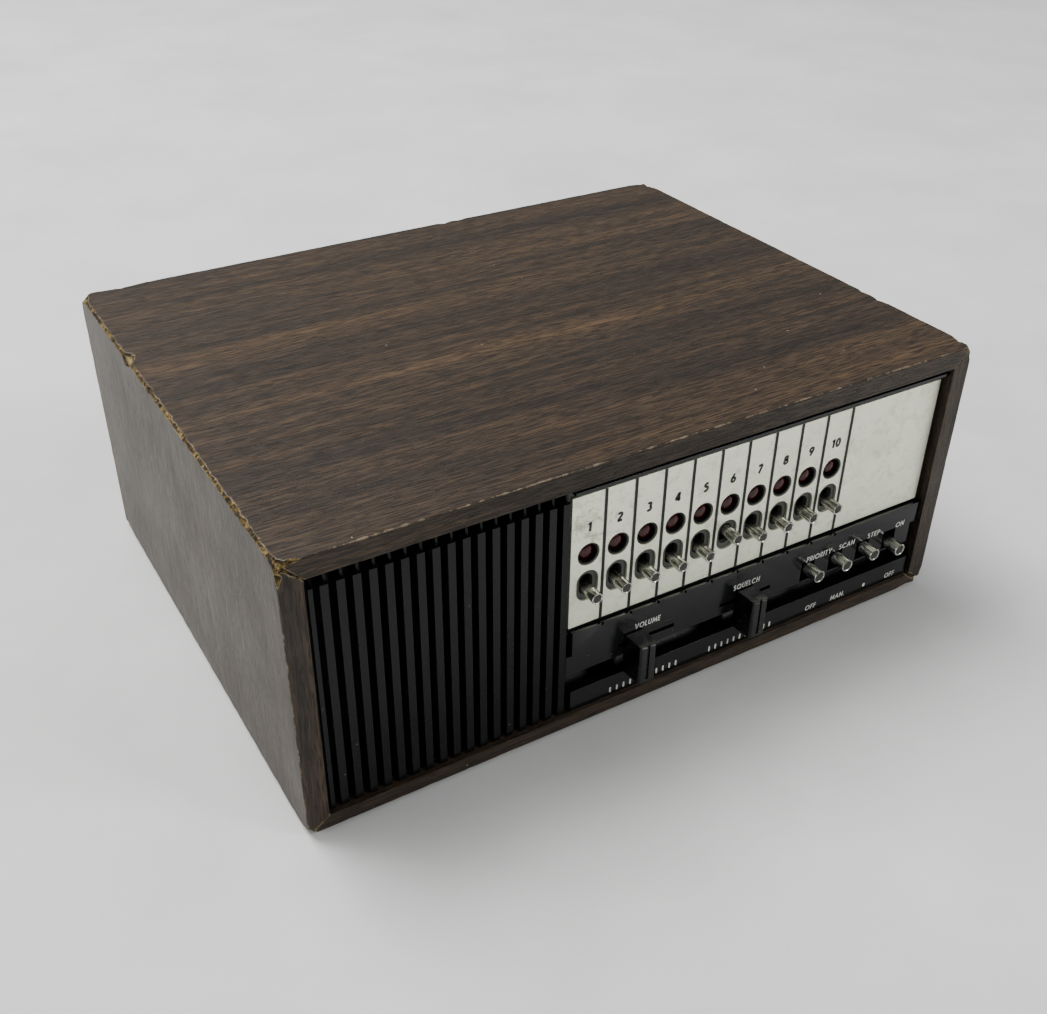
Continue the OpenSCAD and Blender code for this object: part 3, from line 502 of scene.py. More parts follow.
# %% Satin plate
def satin_plate(stain_at, stain_reach):
    """Clear-coated aluminium, brushed along X so finely that it looks like frost. Handling has left
    cloudy marks all over, and a brown stain within `stain_reach` of the point `stain_at`."""
    material, net, shader, at = start("satin_plate")
    frost = net.noise(net.stretch(at, (160, 3000, 3000)), 1.0, 3.0, 0.6)
    cloud = net.noise(at, 230.0, 6.0, 0.75)
    smear = net.noise(at, 60.0, 3.0, 0.6)
    color = net.ramp(frost, [(0.3, "eaebd6"), (0.7, "fafbe6")])
    color = net.mix(net.between(smear, 0.45, 0.70, 0.0, 0.22), color, rgb("b6b49e"))
    color = net.mix(net.between(cloud, 0.52, 0.70, 0.0, 0.45), color, rgb("aaa793"))
    near = net.node("VectorMath", {"operation": "DISTANCE"})
    net.plug(at, near.inputs[0])
    near.inputs[1].default_value = stain_at
    close = net.between(near.outputs["Value"], 0.0, stain_reach, 1.0, 0.0)
    blotchy = net.noise(at, 330.0, 5.0, 0.75)
    blot = net.between(net.math("MULTIPLY_ADD", close, 0.24, blotchy), 0.66, 0.80)
    color = net.mix(net.math("MULTIPLY", blot, 0.5), color, rgb("7d6c50"))
    speck = use(net, "dust", Vector=at, Scale=420.0, Amount=0.16)["Mask"]
    color = net.mix(net.math("MULTIPLY", speck, 0.7), color, rgb("3d3830"))
    surface(net, shader, color, net.between(cloud, 0.3, 0.7, 0.34, 0.5), frost, 0.006 * MM,
            Metallic=0.7)
    return material


STAIN_IN, STAIN_DOWN, STAIN_REACH = 6 * MM, 12 * MM, 17 * MM
plate_low, plate_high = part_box("channel_plate")
stain = (plate_low.x + STAIN_IN, plate_low.y, plate_high.z - STAIN_DOWN)
plate_metal = satin_plate(stain, STAIN_REACH)
print("stain at", [round(place / MM, 1) for place in stain], "mm")

# %% [markdown]
# The levers are turned from brass and nickel-plated: bright barrels with fine
# streaks along them, and a duller end face. The streaks run from near black to near
# white, so they are partly brushing and partly painted reflection: the dark and bright
# bands that a polished barrel mirrors along its length. Their mesh carries a number
# called end, which is 1 on that face. The other metals are plain: zinc-plated screws,
# the dull sheet of the chassis, the dark magnet and the plated sockets.

# %% Nickel and steel
def nickel():
    """Plated brass with streaks drawn out along Y and a dull end face. The streaks' colour, from near black to
    near white, is partly brushing and partly painted reflection bands.
    """
    material, net, shader, at = start("nickel")
    streaks = use(net, "brushing", Vector=at, Fineness=1500.0)["Streaks"]
    fine = use(net, "brushing", Vector=at, Fineness=5200.0)["Streaks"]
    both = net.math("MULTIPLY_ADD", fine, 0.4, net.math("MULTIPLY", streaks, 0.6))
    # Painted reflection: this ramp from near black to near white puts dark and bright lengthwise bands, as of
    # mirrored surroundings, into the colour of the brushing streaks.
    color = net.ramp(both, [(0.36, "4e4e4b"), (0.47, "9c9b95"), (0.58, "f0f0ea")])
    end = net.node("Attribute", {"attribute_name": "end"}).outputs["Fac"]
    face = net.ramp(net.noise(at, 2600.0, 3.0), [(0.35, "343331"), (0.7, "65625d")])
    color = net.mix(end, color, face)
    barrel = net.between(both, 0.35, 0.65, 0.30, 0.18)
    roughness = net.math("ADD", barrel, net.math("MULTIPLY", end, 0.3))
    surface(net, shader, color, roughness, both, 0.01 * MM, Metallic=1.0)
    return material


def steel(name, low, high, rough, grain, marks=0.3):
    """Plated or bare metal: cloudy between two tones. `marks` is how strong its scuffs are."""
    material, net, shader, at = start(name)
    cloud = net.noise(at, grain, 4.0, 0.65)
    scuff = use(net, "scuffs", Vector=at, Amount=0.7)["Mask"]
    color = net.ramp(cloud, [(0.3, low), (0.7, high)])
    color = net.mix(net.math("MULTIPLY", scuff, marks), color, rgb("d8d8d3"))
    surface(net, shader, color, net.between(cloud, 0.3, 0.7, rough, rough + 0.18), cloud,
            0.01 * MM, Metallic=0.9)
    return material


lever_nickel = nickel()
zinc = steel("zinc", "8e9296", "b9bbb8", rough=0.28, grain=240.0)
chassis_sheet = steel("chassis_sheet", "8b8d8c", "a2a3a1", rough=0.42, grain=900.0)
magnet_steel = steel("magnet_steel", "2d2e30", "4b4d50", rough=0.55, grain=400.0)
socket_nickel = steel("socket_nickel", "bcb9af", "cfccc3", rough=0.22, grain=1800.0, marks=0.1)
print("metals", [finish.name for finish in (plate_metal, lever_nickel, zinc, chassis_sheet)])

# %% [markdown]
# The lamp lenses are deep red plastic that passes a little light. The lettering is
# screen-printed: white on the panel and black on the plate. Ink thins as it is
# wiped, so a noise lets a duller tone through in places.

# %% Lenses and inks
def red_lens():
    """Deep red plastic that passes a little light, with a clear skin."""
    material, net, shader, at = start("red_lens")
    depth = net.noise(at, 900.0, 2.0)
    color = net.ramp(depth, [(0.3, "200405"), (0.7, "47090b")])
    surface(net, shader, color, net.between(depth, 0.3, 0.7, 0.05, 0.10), depth, 0.012 * MM,
            Transmission_Weight=0.15, Specular_IOR_Level=0.30)
    return material


def ink(name, worn, solid, share):
    """Screen-printed ink that has thinned in places."""
    material, net, shader, at = start(name)
    thin = net.between(net.noise(at, 1500.0, 3.0, 0.7), share, share + 0.12)
    surface(net, shader, net.mix(thin, rgb(solid), rgb(worn)), net.between(thin, 0, 1, 0.45, 0.6))
    return material


lens = red_lens()
white_ink = ink("white_ink", "6d716f", "dfe0da", share=0.60)
black_ink = ink("black_ink", "3a3a36", "080808", share=0.70)
print("lens and inks:", [finish.name for finish in (lens, white_ink, black_ink)])

# %% [markdown]
# Behind the slats are a black cloth and the paper cone. The parts on the boards
# show only through the vents, so one mottled finish with different tones does for
# boards, cans, sleeves, windings and chips.

# %% Cloth, cone and boards
def cloth():
    """Open black cloth: two sets of threads at right angles, one over the other."""
    material, net, shader, at = start("cloth")
    warp = net.node("TexWave", {"bands_direction": "X"}, Vector=at, Scale=420.0, Distortion=0.6)
    weft = net.node("TexWave", {"bands_direction": "Z"}, Vector=at, Scale=420.0, Distortion=0.6)
    weave = net.math("MAXIMUM", warp.outputs["Fac"], weft.outputs["Fac"])
    surface(net, shader, net.ramp(weave, [(0.2, "030303"), (0.9, "1b1b1a")]),
            net.between(weave, 0, 1, 0.95, 0.75), weave, 0.2 * MM, Sheen_Weight=0.2)
    return material


def speckled(name, low, high, rough, grain, relief=0.05, **own):
    """A mottled surface between two tones. `relief` is in mm and `own` goes to the shader."""
    material, net, shader, at = start(name)
    spots = net.noise(at, grain, 4.0, 0.6)
    surface(net, shader, net.ramp(spots, [(0.32, low), (0.68, high)]),
            net.between(spots, 0.3, 0.7, rough, rough + 0.15), spots, relief * MM, **own)
    return material


speaker_cloth = cloth()
cone_paper = speckled("cone_paper", "121110", "2a2825", rough=0.85, grain=1400.0, relief=0.15)
board_green = speckled("board_green", "2f4a2c", "4c6a44", rough=0.35, grain=500.0)
can_metal = speckled("can_metal", "a4a6a4", "c4c5c1", rough=0.3, grain=600.0, relief=0.02, Metallic=1.0)
sleeve_blue = speckled("sleeve_blue", "1f3550", "2f4c6e", rough=0.35, grain=700.0)
core_steel = speckled("core_steel", "3a3836", "57534e", rough=0.5, grain=900.0, relief=0.1, Metallic=0.6)
winding_tape = speckled("winding_tape", "8a6a2c", "b08b3f", rough=0.5, grain=800.0, relief=0.1)
chip_black = speckled("chip_black", "141516", "26282a", rough=0.5, grain=1600.0)
print(len(bpy.data.materials), "materials")

# %% [markdown]
# New shapes are grids of points worked out as whole arrays. A loft joins rows of
# points into a tube and closes its two ends, which makes one watertight solid.
# Small solids that belong together, such as the letters of a word, are joined.

# %% Lofts
def loft(grid):
    """Points and faces of a closed tube: grid[i, j] is point j of ring i, and both ends get a lid."""
    rings, around = grid.shape[:2]
    i, j = np.meshgrid(np.arange(rings - 1), np.arange(around), indexing="ij")
    k = (j + 1) % around
    quads = np.stack([i * around + j, i * around + k, (i + 1) * around + k, (i + 1) * around + j], -1)
    faces = quads.reshape(-1, 4).tolist()
    faces += [list(range(around))[::-1], list(range((rings - 1) * around, rings * around))]
    return grid.reshape(-1, 3), faces


def joined(parts):
    """Several (points, faces) as one."""
    points, faces, first = [], [], 0
    for some_points, some_faces in parts:
        points.append(some_points)
        faces += [[first + index for index in face] for face in some_faces]
        first += len(some_points)
    return np.concatenate(points), faces


print("3 rings of 4 points give", len(loft(np.zeros((3, 4, 3)))[1]), "faces")

# %% [markdown]
# A piece is one finished object. Doubled points are merged and the faces are made
# to point outwards, edges sharper than an angle stay crisp, the piece is attached to
# the body it rides on, and the exact parts it stands in for are hidden.

# %% Finished pieces
MERGE = 0.0005 * MM


def piece(name, shape, material, body="root", slot=None, replaces=(), sharp=35, **values):
    """A finished object from (points, faces). `values` are numbers on its points, by name."""
    points, faces = shape
    mesh = bpy.data.meshes.new(name)
    mesh.from_pydata(np.asarray(points).tolist(), [], faces)
    for label, numbers in values.items():
        mesh.attributes.new(label, "FLOAT", "POINT").data.foreach_set("value", np.float32(numbers))
    solid = bmesh.new()
    solid.from_mesh(mesh)
    bmesh.ops.remove_doubles(solid, verts=solid.verts, dist=MERGE)
    bmesh.ops.recalc_face_normals(solid, faces=solid.faces)
    solid.to_mesh(mesh)
    solid.free()
    mesh.shade_smooth()
    mesh.set_sharp_from_angle(angle=math.radians(sharp))
    mesh.materials.append(material)
    made = bpy.data.objects.new(name, mesh)
    bpy.context.collection.objects.link(made)
    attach(made, body)
    if replaces:
        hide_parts(*replaces)
    return made


print("points closer than", MERGE / MM, "mm are merged")

# %% [markdown]
# Fifty years have broken the edges and corners of the cabinet. What has happened is
# listed first: for each of the twelve edges how much is gone, how much that wanders,
# and where something has struck it, then the corners that are knocked off, and the
# mitres that have opened at the front.

# %% Wear on the cabinet
outer_low = Vector((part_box("cabinet_left")[0].x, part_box("cabinet_top")[0].y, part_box("cabinet_bottom")[0].z))
outer_high = Vector((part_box("cabinet_right")[1].x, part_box("cabinet_top")[1].y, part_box("cabinet_top")[1].z))
X, Y, Z = 0, 1, 2
# Each outer face: the axis it stands across and the way from it into the cabinet
AXES = {"left": (X, 1), "right": (X, -1), "front": (Y, 1), "back": (Y, -1), "bottom": (Z, 1), "top": (Z, -1)}
# Edge, size, wander, length of one wander, then local breaks as (place, half length, size), in mm.
# A place is measured along the edge in the frame's own X, Y or Z.
EDGES = [
    ("top", "left", 1.15, 0.6, 2.2, [(40, 5, 2.8), (-101, 5, 1.8), (100, 6, 2.2), (-70, 9, 0.5)]),
    ("top", "right", 0.35, 0.25, 3.0, [(-55, 5, 1.2), (-46, 3, 0.9), (97, 6, 1.6), (-97, 5, 1.6)]),
    ("bottom", "left", 0.4, 0.5, 3.0, [(-101, 5, 2.0), (98, 6, 1.8)]),
    ("bottom", "right", 0.35, 0.4, 3.0, [(-100, 5, 1.8), (98, 6, 1.2)]),
    ("top", "front", 0.24, 0.22, 3.0, [(-129, 4, 1.3), (-100, 14, 0.15)]),
    ("top", "back", 0.35, 0.3, 4.0, [(24, 3, 1.3), (32, 2.5, 0.9), (-118, 8, 1.3), (130, 4, 1.5)]),
    ("bottom", "front", 0.24, 0.25, 5.0, [(126, 6, 0.9)]),
    ("bottom", "back", 0.3, 0.3, 4.0, []),
    ("left", "front", 0.22, 0.22, 5.0, [(2, 5, 1.0), (103, 4, 1.4)]),
    ("left", "back", 0.35, 0.4, 3.0, [(40, 4, 0.7), (103, 5, 1.2)]),
    ("right", "front", 0.22, 0.2, 5.0, [(104, 4, 1.1), (4, 4, 1.2)]),
    ("right", "back", 0.3, 0.3, 4.0, [(102, 5, 1.4)]),
]
# Corner, size of the piece knocked off it in mm
CORNERS = [
    ("top", "left", "front", 4.4), ("top", "left", "back", 4.2),
    ("top", "right", "front", 3.4), ("top", "right", "back", 3.6),
    ("bottom", "left", "front", 3.4), ("bottom", "right", "front", 4.0),
]
# Half width of the open line along each front mitre, in mm
MITRES = [("top", "left", 0.6), ("bottom", "left", 0.34), ("bottom", "right", 0.95), ("top", "right", 0.16)]
print(len(EDGES), "worn edges and", len(CORNERS), "worn corners")

# %% [markdown]
# Wear is a cut across an edge: where the distances to the two outer faces add up to
# less than a size, the point moves inward until they do. The size wanders along the
# edge by two ripples of random values, so the break looks ragged. Both boards of a
# corner use the same cuts, so their broken edges still meet.

# %% Cutting an edge back
RIPPLE_VALUES = 4000
# A wander is two ripples, the second of them finer, and a break is ragged by a third
FINER, RAGGED_STEP = 2.7, 1.1
FINER_SEED, RAGGED_SEED = 50, 90


def ripple(places, step, seed):
    """A smooth random line through 0..1: seeded values every `step`, joined by straight runs."""
    values = np.random.default_rng(seed).random(RIPPLE_VALUES)
    return np.interp(places / step + RIPPLE_VALUES / 2, np.arange(RIPPLE_VALUES), values)


def face_distance(points, name):
    """How far each point is inside one outer face of the cabinet."""
    axis, way = AXES[name]
    return points[:, axis] - outer_low[axis] if way > 0 else outer_high[axis] - points[:, axis]


def cut_back(points, names, size):
    """Points whose distances to the named faces add up to less than size move inward, along the
    line between the faces, until the sum is size. Returns size minus the sum as it was."""
    short = size - sum(face_distance(points, name) for name in names)
    push = np.clip(short, 0, None) / len(names)
    for name in names:
        axis, way = AXES[name]
        points[:, axis] += way * push
    return short


def edge_width(t, number):
    """How wide edge `number` is cut at the places t along it, in mm: its size, two ripples, and
    a peak at each local break that falls off in a straight line on both sides."""
    size, wander, step, breaks = EDGES[number][2:]
    both = ripple(t, step, number) + ripple(t, step / FINER, number + FINER_SEED)
    width = size + wander * (both - 1)
    for place, half, extra in breaks:
        peak = np.clip(1 - np.abs(t - place) / half, 0, 1)
        width += extra * peak * (0.6 + 0.6 * ripple(t, RAGGED_STEP, number + RAGGED_SEED))
    return width


print("first edge is cut by", edge_width(np.linspace(-90, 90, 4), 0).round(1), "mm")

# %% [markdown]
# A mitre that has opened is a groove pushed into the front. Where anything is cut
# away, small random pushes make the broken board look crumbly. The same pass also
# says how bare each point is, which the finish of the boards reads.

# %% All the wear together
UNTOUCHED = -9.0
CRUMB, CRUMBLY_FROM = 0.07 * MM, 0.4 * MM
# A groove: its depth by its width, how far back it is cut, how far it runs past the inner corner,
# its width at the outer end and how much of that it loses on the way in
GROOVE_DEEP, FRONT_DEEP, PAST_CORNER = 0.9, 1.5 * MM, 1.02
OUTER_WIDTH, NARROWING = 1.3, 0.6
SIN_45 = 0.7


def mitre_groove(points, one, two, size, walls):
    """How far each point is inside the open line of a front mitre: the line's half width, which
    shrinks inwards, less the distance to where both walls are crossed by the same share."""
    a, b = face_distance(points, one) / walls[one], face_distance(points, two) / walls[two]
    from_line = np.abs(a - b) * min(walls[one], walls[two]) * SIN_45
    reach = np.minimum(a, b)
    at_front = (reach < PAST_CORNER) & (points[:, Y] < outer_low.y + FRONT_DEEP)
    width = size * MM * (OUTER_WIDTH - NARROWING * reach)
    return np.where(at_front, width - from_line, UNTOUCHED * MM)


def wear(points, walls):
    """The points after all edge, corner and mitre wear, and how bare each one is, in mm."""
    points = points.copy()
    bare = np.full(len(points), UNTOUCHED * MM)
    for number, (one, two, *_) in enumerate(EDGES):
        along = ({X, Y, Z} - {AXES[one][0], AXES[two][0]}).pop()
        width = edge_width(points[:, along] / MM, number)
        bare = np.maximum(bare, cut_back(points, (one, two), width * MM))
    for *faces, size in CORNERS:
        bare = np.maximum(bare, cut_back(points, faces, size * MM))
    for one, two, size in MITRES:
        groove = mitre_groove(points, one, two, size, walls)
        points[:, Y] += GROOVE_DEEP * np.clip(groove, 0, None)
        bare = np.maximum(bare, groove)
    crumbs = np.random.default_rng(11).normal(0, CRUMB, points.shape)
    crumbly = np.clip(bare / CRUMBLY_FROM, 0, 1)[:, None]
    middle = (np.array(outer_low) + np.array(outer_high)) / 2
    points += np.abs(crumbs) * crumbly * np.sign(middle - points)
    return points, bare / MM


print("outer box", [round(side / MM, 1) for side in outer_high - outer_low], "mm")

# %% [markdown]
# Each board is a long bar with mitred ends. Its section is a rectangle in depth and
# thickness with the two outer corners slightly rounded, because the film is folded
# round them. The section is carried along the board, and each ring is stretched so
# that the ends lie on the mitres. Points stand close together near the edges, where
# the wear needs them, and far apart between.

# %% Section of a board
FOLD_R, FOLD_POINTS = 0.45 * MM, 4
WALL_POINTS = 14
NEAR_EDGE = 5 * MM
DEPTH_STEPS, LENGTH_STEPS = (0.45 * MM, 1.25 * MM), (0.4 * MM, 1.7 * MM)


def stations(low, high, fine, coarse, margin):
    """Places from low to high, `fine` apart within margin of both ends and `coarse` between them."""
    near = np.arange(0, margin, fine)
    count = int(round((high - low - 2 * margin) / coarse)) + 1
    return np.concatenate([low + near, np.linspace(low + margin, high - margin, count), high - near[::-1]])


def board_section(front, back, thick):
    """Depth and thickness of each point round a board: a rectangle whose outer corners are arcs."""
    r = FOLD_R
    rise = np.linspace(0, thick - r, WALL_POINTS)
    turn = np.linspace(0, math.pi / 2, FOLD_POINTS)[1:-1]
    depth = stations(front + r, back - r, *DEPTH_STEPS, NEAR_EDGE)[::-1]
    back_arc = np.stack([back - r + r * np.cos(turn), thick - r + r * np.sin(turn)], -1)
    front_arc = np.stack([front + r - r * np.sin(turn), thick - r + r * np.cos(turn)], -1)
    return np.concatenate([
        np.stack([np.full_like(rise, back), rise], -1), back_arc,
        np.stack([depth, np.full_like(depth, thick)], -1), front_arc,
        np.stack([np.full_like(rise, front), rise[::-1]], -1),
    ])


print("section of a 10 mm board has", len(board_section(0, 0.2, 10 * MM)), "points")

# %% [markdown]
# The four boards differ in the axis along which they run and the side of the
# cabinet on which they lie. The inner face of a board ends at the inner faces of its
# two neighbours, and its outer face reaches right out to the corners: that slope is
# the mitre.

# %% Cabinet boards
def board(name, long_axis, out_axis, out_way, walls, material):
    """A board with mitred ends: at height h above the inner face, it reaches from the inner
    corner towards the outer one by the share h / thickness, at both ends."""
    low, high = (np.array(c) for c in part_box(name))
    thick = high[out_axis] - low[out_axis]
    section = board_section(low[1], high[1], thick)
    share = section[:, 1] / thick
    ends = [("left", "right"), None, ("bottom", "top")][long_axis]
    place = stations(low[long_axis], high[long_axis], *LENGTH_STEPS, NEAR_EDGE)
    u = ((place - low[long_axis]) / (high[long_axis] - low[long_axis]))[:, None]
    start_at = low[long_axis] + walls[ends[0]] * (1 - share)
    end_at = high[long_axis] - walls[ends[1]] * (1 - share)
    grid = np.empty((len(place), len(section), 3))
    grid[:, :, long_axis] = (1 - u) * start_at + u * end_at
    grid[:, :, 1] = section[:, 0]
    base = low[out_axis] if out_way > 0 else high[out_axis]
    grid[:, :, out_axis] = base + out_way * section[:, 1]
    points, faces = loft(grid)
    points, bare = wear(points, walls)
    made = piece("worn_" + name, (points, faces), material, slot="walnut_vinyl", replaces=(name,),
                 bare=bare)
    print(made.name, len(faces), "faces")


walls = {side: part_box("cabinet_" + side)[1][axis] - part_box("cabinet_" + side)[0][axis]
         for side, axis in (("left", X), ("right", X), ("top", Z), ("bottom", Z))}
board("cabinet_top", X, Z, 1, walls, walnut_across)
board("cabinet_bottom", X, Z, -1, walls, walnut_across)
board("cabinet_left", Z, X, -1, walls, walnut_upright)
board("cabinet_right", Z, X, 1, walls, walnut_upright)

# %% [markdown]
# A moulding or a bent sheet is never razor sharp. Where an exact part has the right
# shape, a copy of it is merged into flat faces and its edges get a small rounding
# with a Bevel modifier, so that they catch the light as real edges do.

# %% Rounded copies of exact parts
CAD_MERGE = 0.001 * MM
FLAT, SHARP = math.radians(0.5), math.radians(30)


def rounded(node, radius, material, turns=2):
    """A copy of a part, with the triangles of each flat face merged and its edges rounded to
    `radius` in `turns` steps."""
    source = frame["nodes"][node]
    solid = bmesh.new()
    solid.from_mesh(source.data)
    bmesh.ops.remove_doubles(solid, verts=solid.verts, dist=CAD_MERGE)
    bmesh.ops.dissolve_limit(solid, angle_limit=FLAT, verts=solid.verts, edges=solid.edges)
    mesh = bpy.data.meshes.new("soft_" + node)
    solid.to_mesh(mesh)
    solid.free()
    mesh.shade_smooth()
    mesh.set_sharp_from_angle(angle=SHARP)
    mesh.materials.append(material)
    made = bpy.data.objects.new(mesh.name, mesh)
    bpy.context.collection.objects.link(made)
    bevel = made.modifiers.new("edges", "BEVEL")
    bevel.width = radius
    bevel.segments = turns
    bevel.limit_method = "ANGLE"
    bevel.angle_limit = SHARP
    bevel.harden_normals = True
    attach(made, body_of(source)[0])
    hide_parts(node)


MOULDED, PRESSED, SOFT, HANDLED = 0.22 * MM, 0.10 * MM, 0.5 * MM, 0.3 * MM
rounded("speaker_grille", MOULDED, grille_black)
rounded("control_panel", MOULDED, panel_black)
rounded("channel_plate", PRESSED, plate_metal)
rounded("feet", SOFT, foot_rubber, turns=3)
for knob in ("volume_knob", "squelch_knob"):
    rounded(knob, HANDLED, knob_black, turns=3)

# %% [markdown]
# A lever is turned from one bar: a rolled bright rim round a shallow flat end, then
# the barrel, then the thin stem into the switch. A turned part is one outline of
# radius and depth, carried round its axis. The ten channel levers are a little
# thinner than the four function levers, and their barrels are of other lengths.

# %% Levers
STEM_R, RIM_R, DISH = 1.2 * MM, 0.28 * MM, 0.30 * MM
RIM_IN, END_FACE_IN = 0.62 * MM, 0.55 * MM
END_FACE_DEEP = 1 * MM
AXIS_R, CHAMFER = 0.02 * MM, 0.2 * MM
CHANNEL_STEM, FUNCTION_STEM = 7.0 * MM, 5.5 * MM


def turned(x, z, outline, around=40):
    """A solid of revolution about a line along Y: outline holds (radius, y) from front to back."""
    angle = np.linspace(0, 2 * math.pi, around, endpoint=False)
    radius, y = np.asarray(outline, float).T
    grid = np.empty((len(radius), around, 3))
    grid[:, :, 0] = x + radius[:, None] * np.cos(angle)
    grid[:, :, 1] = y[:, None]
    grid[:, :, 2] = z + radius[:, None] * np.sin(angle)
    return loft(grid)


def arc(radius, y, r, start_angle, end_angle, count=5):
    """Points of a round in an outline: centre (radius, y), angles in degrees from straight out."""
    a = np.radians(np.linspace(start_angle, end_angle, count))
    return np.stack([radius + r * np.cos(a), y + r * np.sin(a)], -1)


def lever(node, body, stem):
    """One lever from its part's own box, with a bare stem of length `stem`. The rim is a round
    between the end face and the barrel."""
    low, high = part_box(node)
    x, z, r = (low.x + high.x) / 2, (low.z + high.z) / 2, (high.x - low.x) / 2
    cap_end = high.y - stem
    outline = np.concatenate([
        [[AXIS_R, low.y + DISH], [r - RIM_IN, low.y + DISH]],
        arc(r - RIM_R, low.y + RIM_R, RIM_R, -150, 0),
        [[r, cap_end - CHAMFER], [r - CHAMFER, cap_end], [STEM_R, cap_end], [STEM_R, high.y]],
    ])
    points, faces = turned(x, z, outline)
    inside = np.hypot(points[:, X] - x, points[:, Z] - z) < r - END_FACE_IN
    end = inside & (points[:, Y] < low.y + END_FACE_DEEP)
    piece("turned_" + node, (points, faces), lever_nickel, body, "nickel", (node,), end=end * 1.0)


CHANNELS = range(1, 11)
FUNCTIONS = ("priority", "scan", "step", "power")
for k in CHANNELS:
    lever(f"channel_lever_{k}", f"channel_{k}", CHANNEL_STEM)
for word in FUNCTIONS:
    lever(word + "_lever", word, FUNCTION_STEM)
print(len(CHANNELS) + len(FUNCTIONS), "levers turned")

# %% [markdown]
# The lamps are low domes of red plastic, each in a black sleeve. The ten lenses are
# one shape repeated at the ten channels, whose middles come from the levers below
# them.

# %% Lamps
DOME_DEEP, LENS_LONG = 2.2 * MM, 9 * MM
TIP_ANGLE, DOME_POINTS, LENS_AROUND = -88, 16, 36
SLEEVE_EDGE = 0.12 * MM


def middle_x(node):
    """The X of the middle of an exact part."""
    low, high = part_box(node)
    return (low.x + high.x) / 2


channel_x = [middle_x(f"channel_lever_{k}") for k in CHANNELS]
lamp_low, lamp_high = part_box("channel_lamps")
lamp_r, lamp_z = (lamp_high.z - lamp_low.z) / 2, (lamp_high.z + lamp_low.z) / 2


def lamp_outline():
    """A flattened quarter circle from near the tip to the side, then the skirt behind it."""
    round_part = arc(0, 0, 1, TIP_ANGLE, 0, DOME_POINTS)
    dome = round_part * (lamp_r, DOME_DEEP) + (0, lamp_low.y + DOME_DEEP)
    back = lamp_low.y + LENS_LONG
    return np.concatenate([dome, [[lamp_r, back], [lamp_r * 0.5, back]]])


lenses = joined([turned(x, lamp_z, lamp_outline(), LENS_AROUND) for x in channel_x])
piece("lamp_lenses", lenses, lens, slot="lamp_red", replaces=("channel_lamps",))
rounded("lamp_holders", SLEEVE_EDGE, inner_black)
print("lenses at", [round(x / MM, 1) for x in channel_x])

# %% [markdown]
# The lettering is in plain geometric capitals, which are easy to build from what
# they are drawn with: straight strokes and parts of circles, all of one width. In
# the table a letter is its width and its strokes, on a square one capital high.
# Letters that share a stem, a ring or a bowl use the same one.

# %% Letters from strokes
def line(x0, y0, x1, y1):
    """The two ends of a straight stroke."""
    return np.array([[x0, y0], [x1, y1]])


def curve(x, y, rx, ry, start_angle, end_angle):
    """Points of a round stroke: (x, y) plus (rx cos a, ry sin a), angles in degrees."""
    count = 3 + int(abs(end_angle - start_angle) / 18)
    a = np.radians(np.linspace(start_angle, end_angle, count))
    return np.stack([x + rx * np.cos(a), y + ry * np.sin(a)], -1)


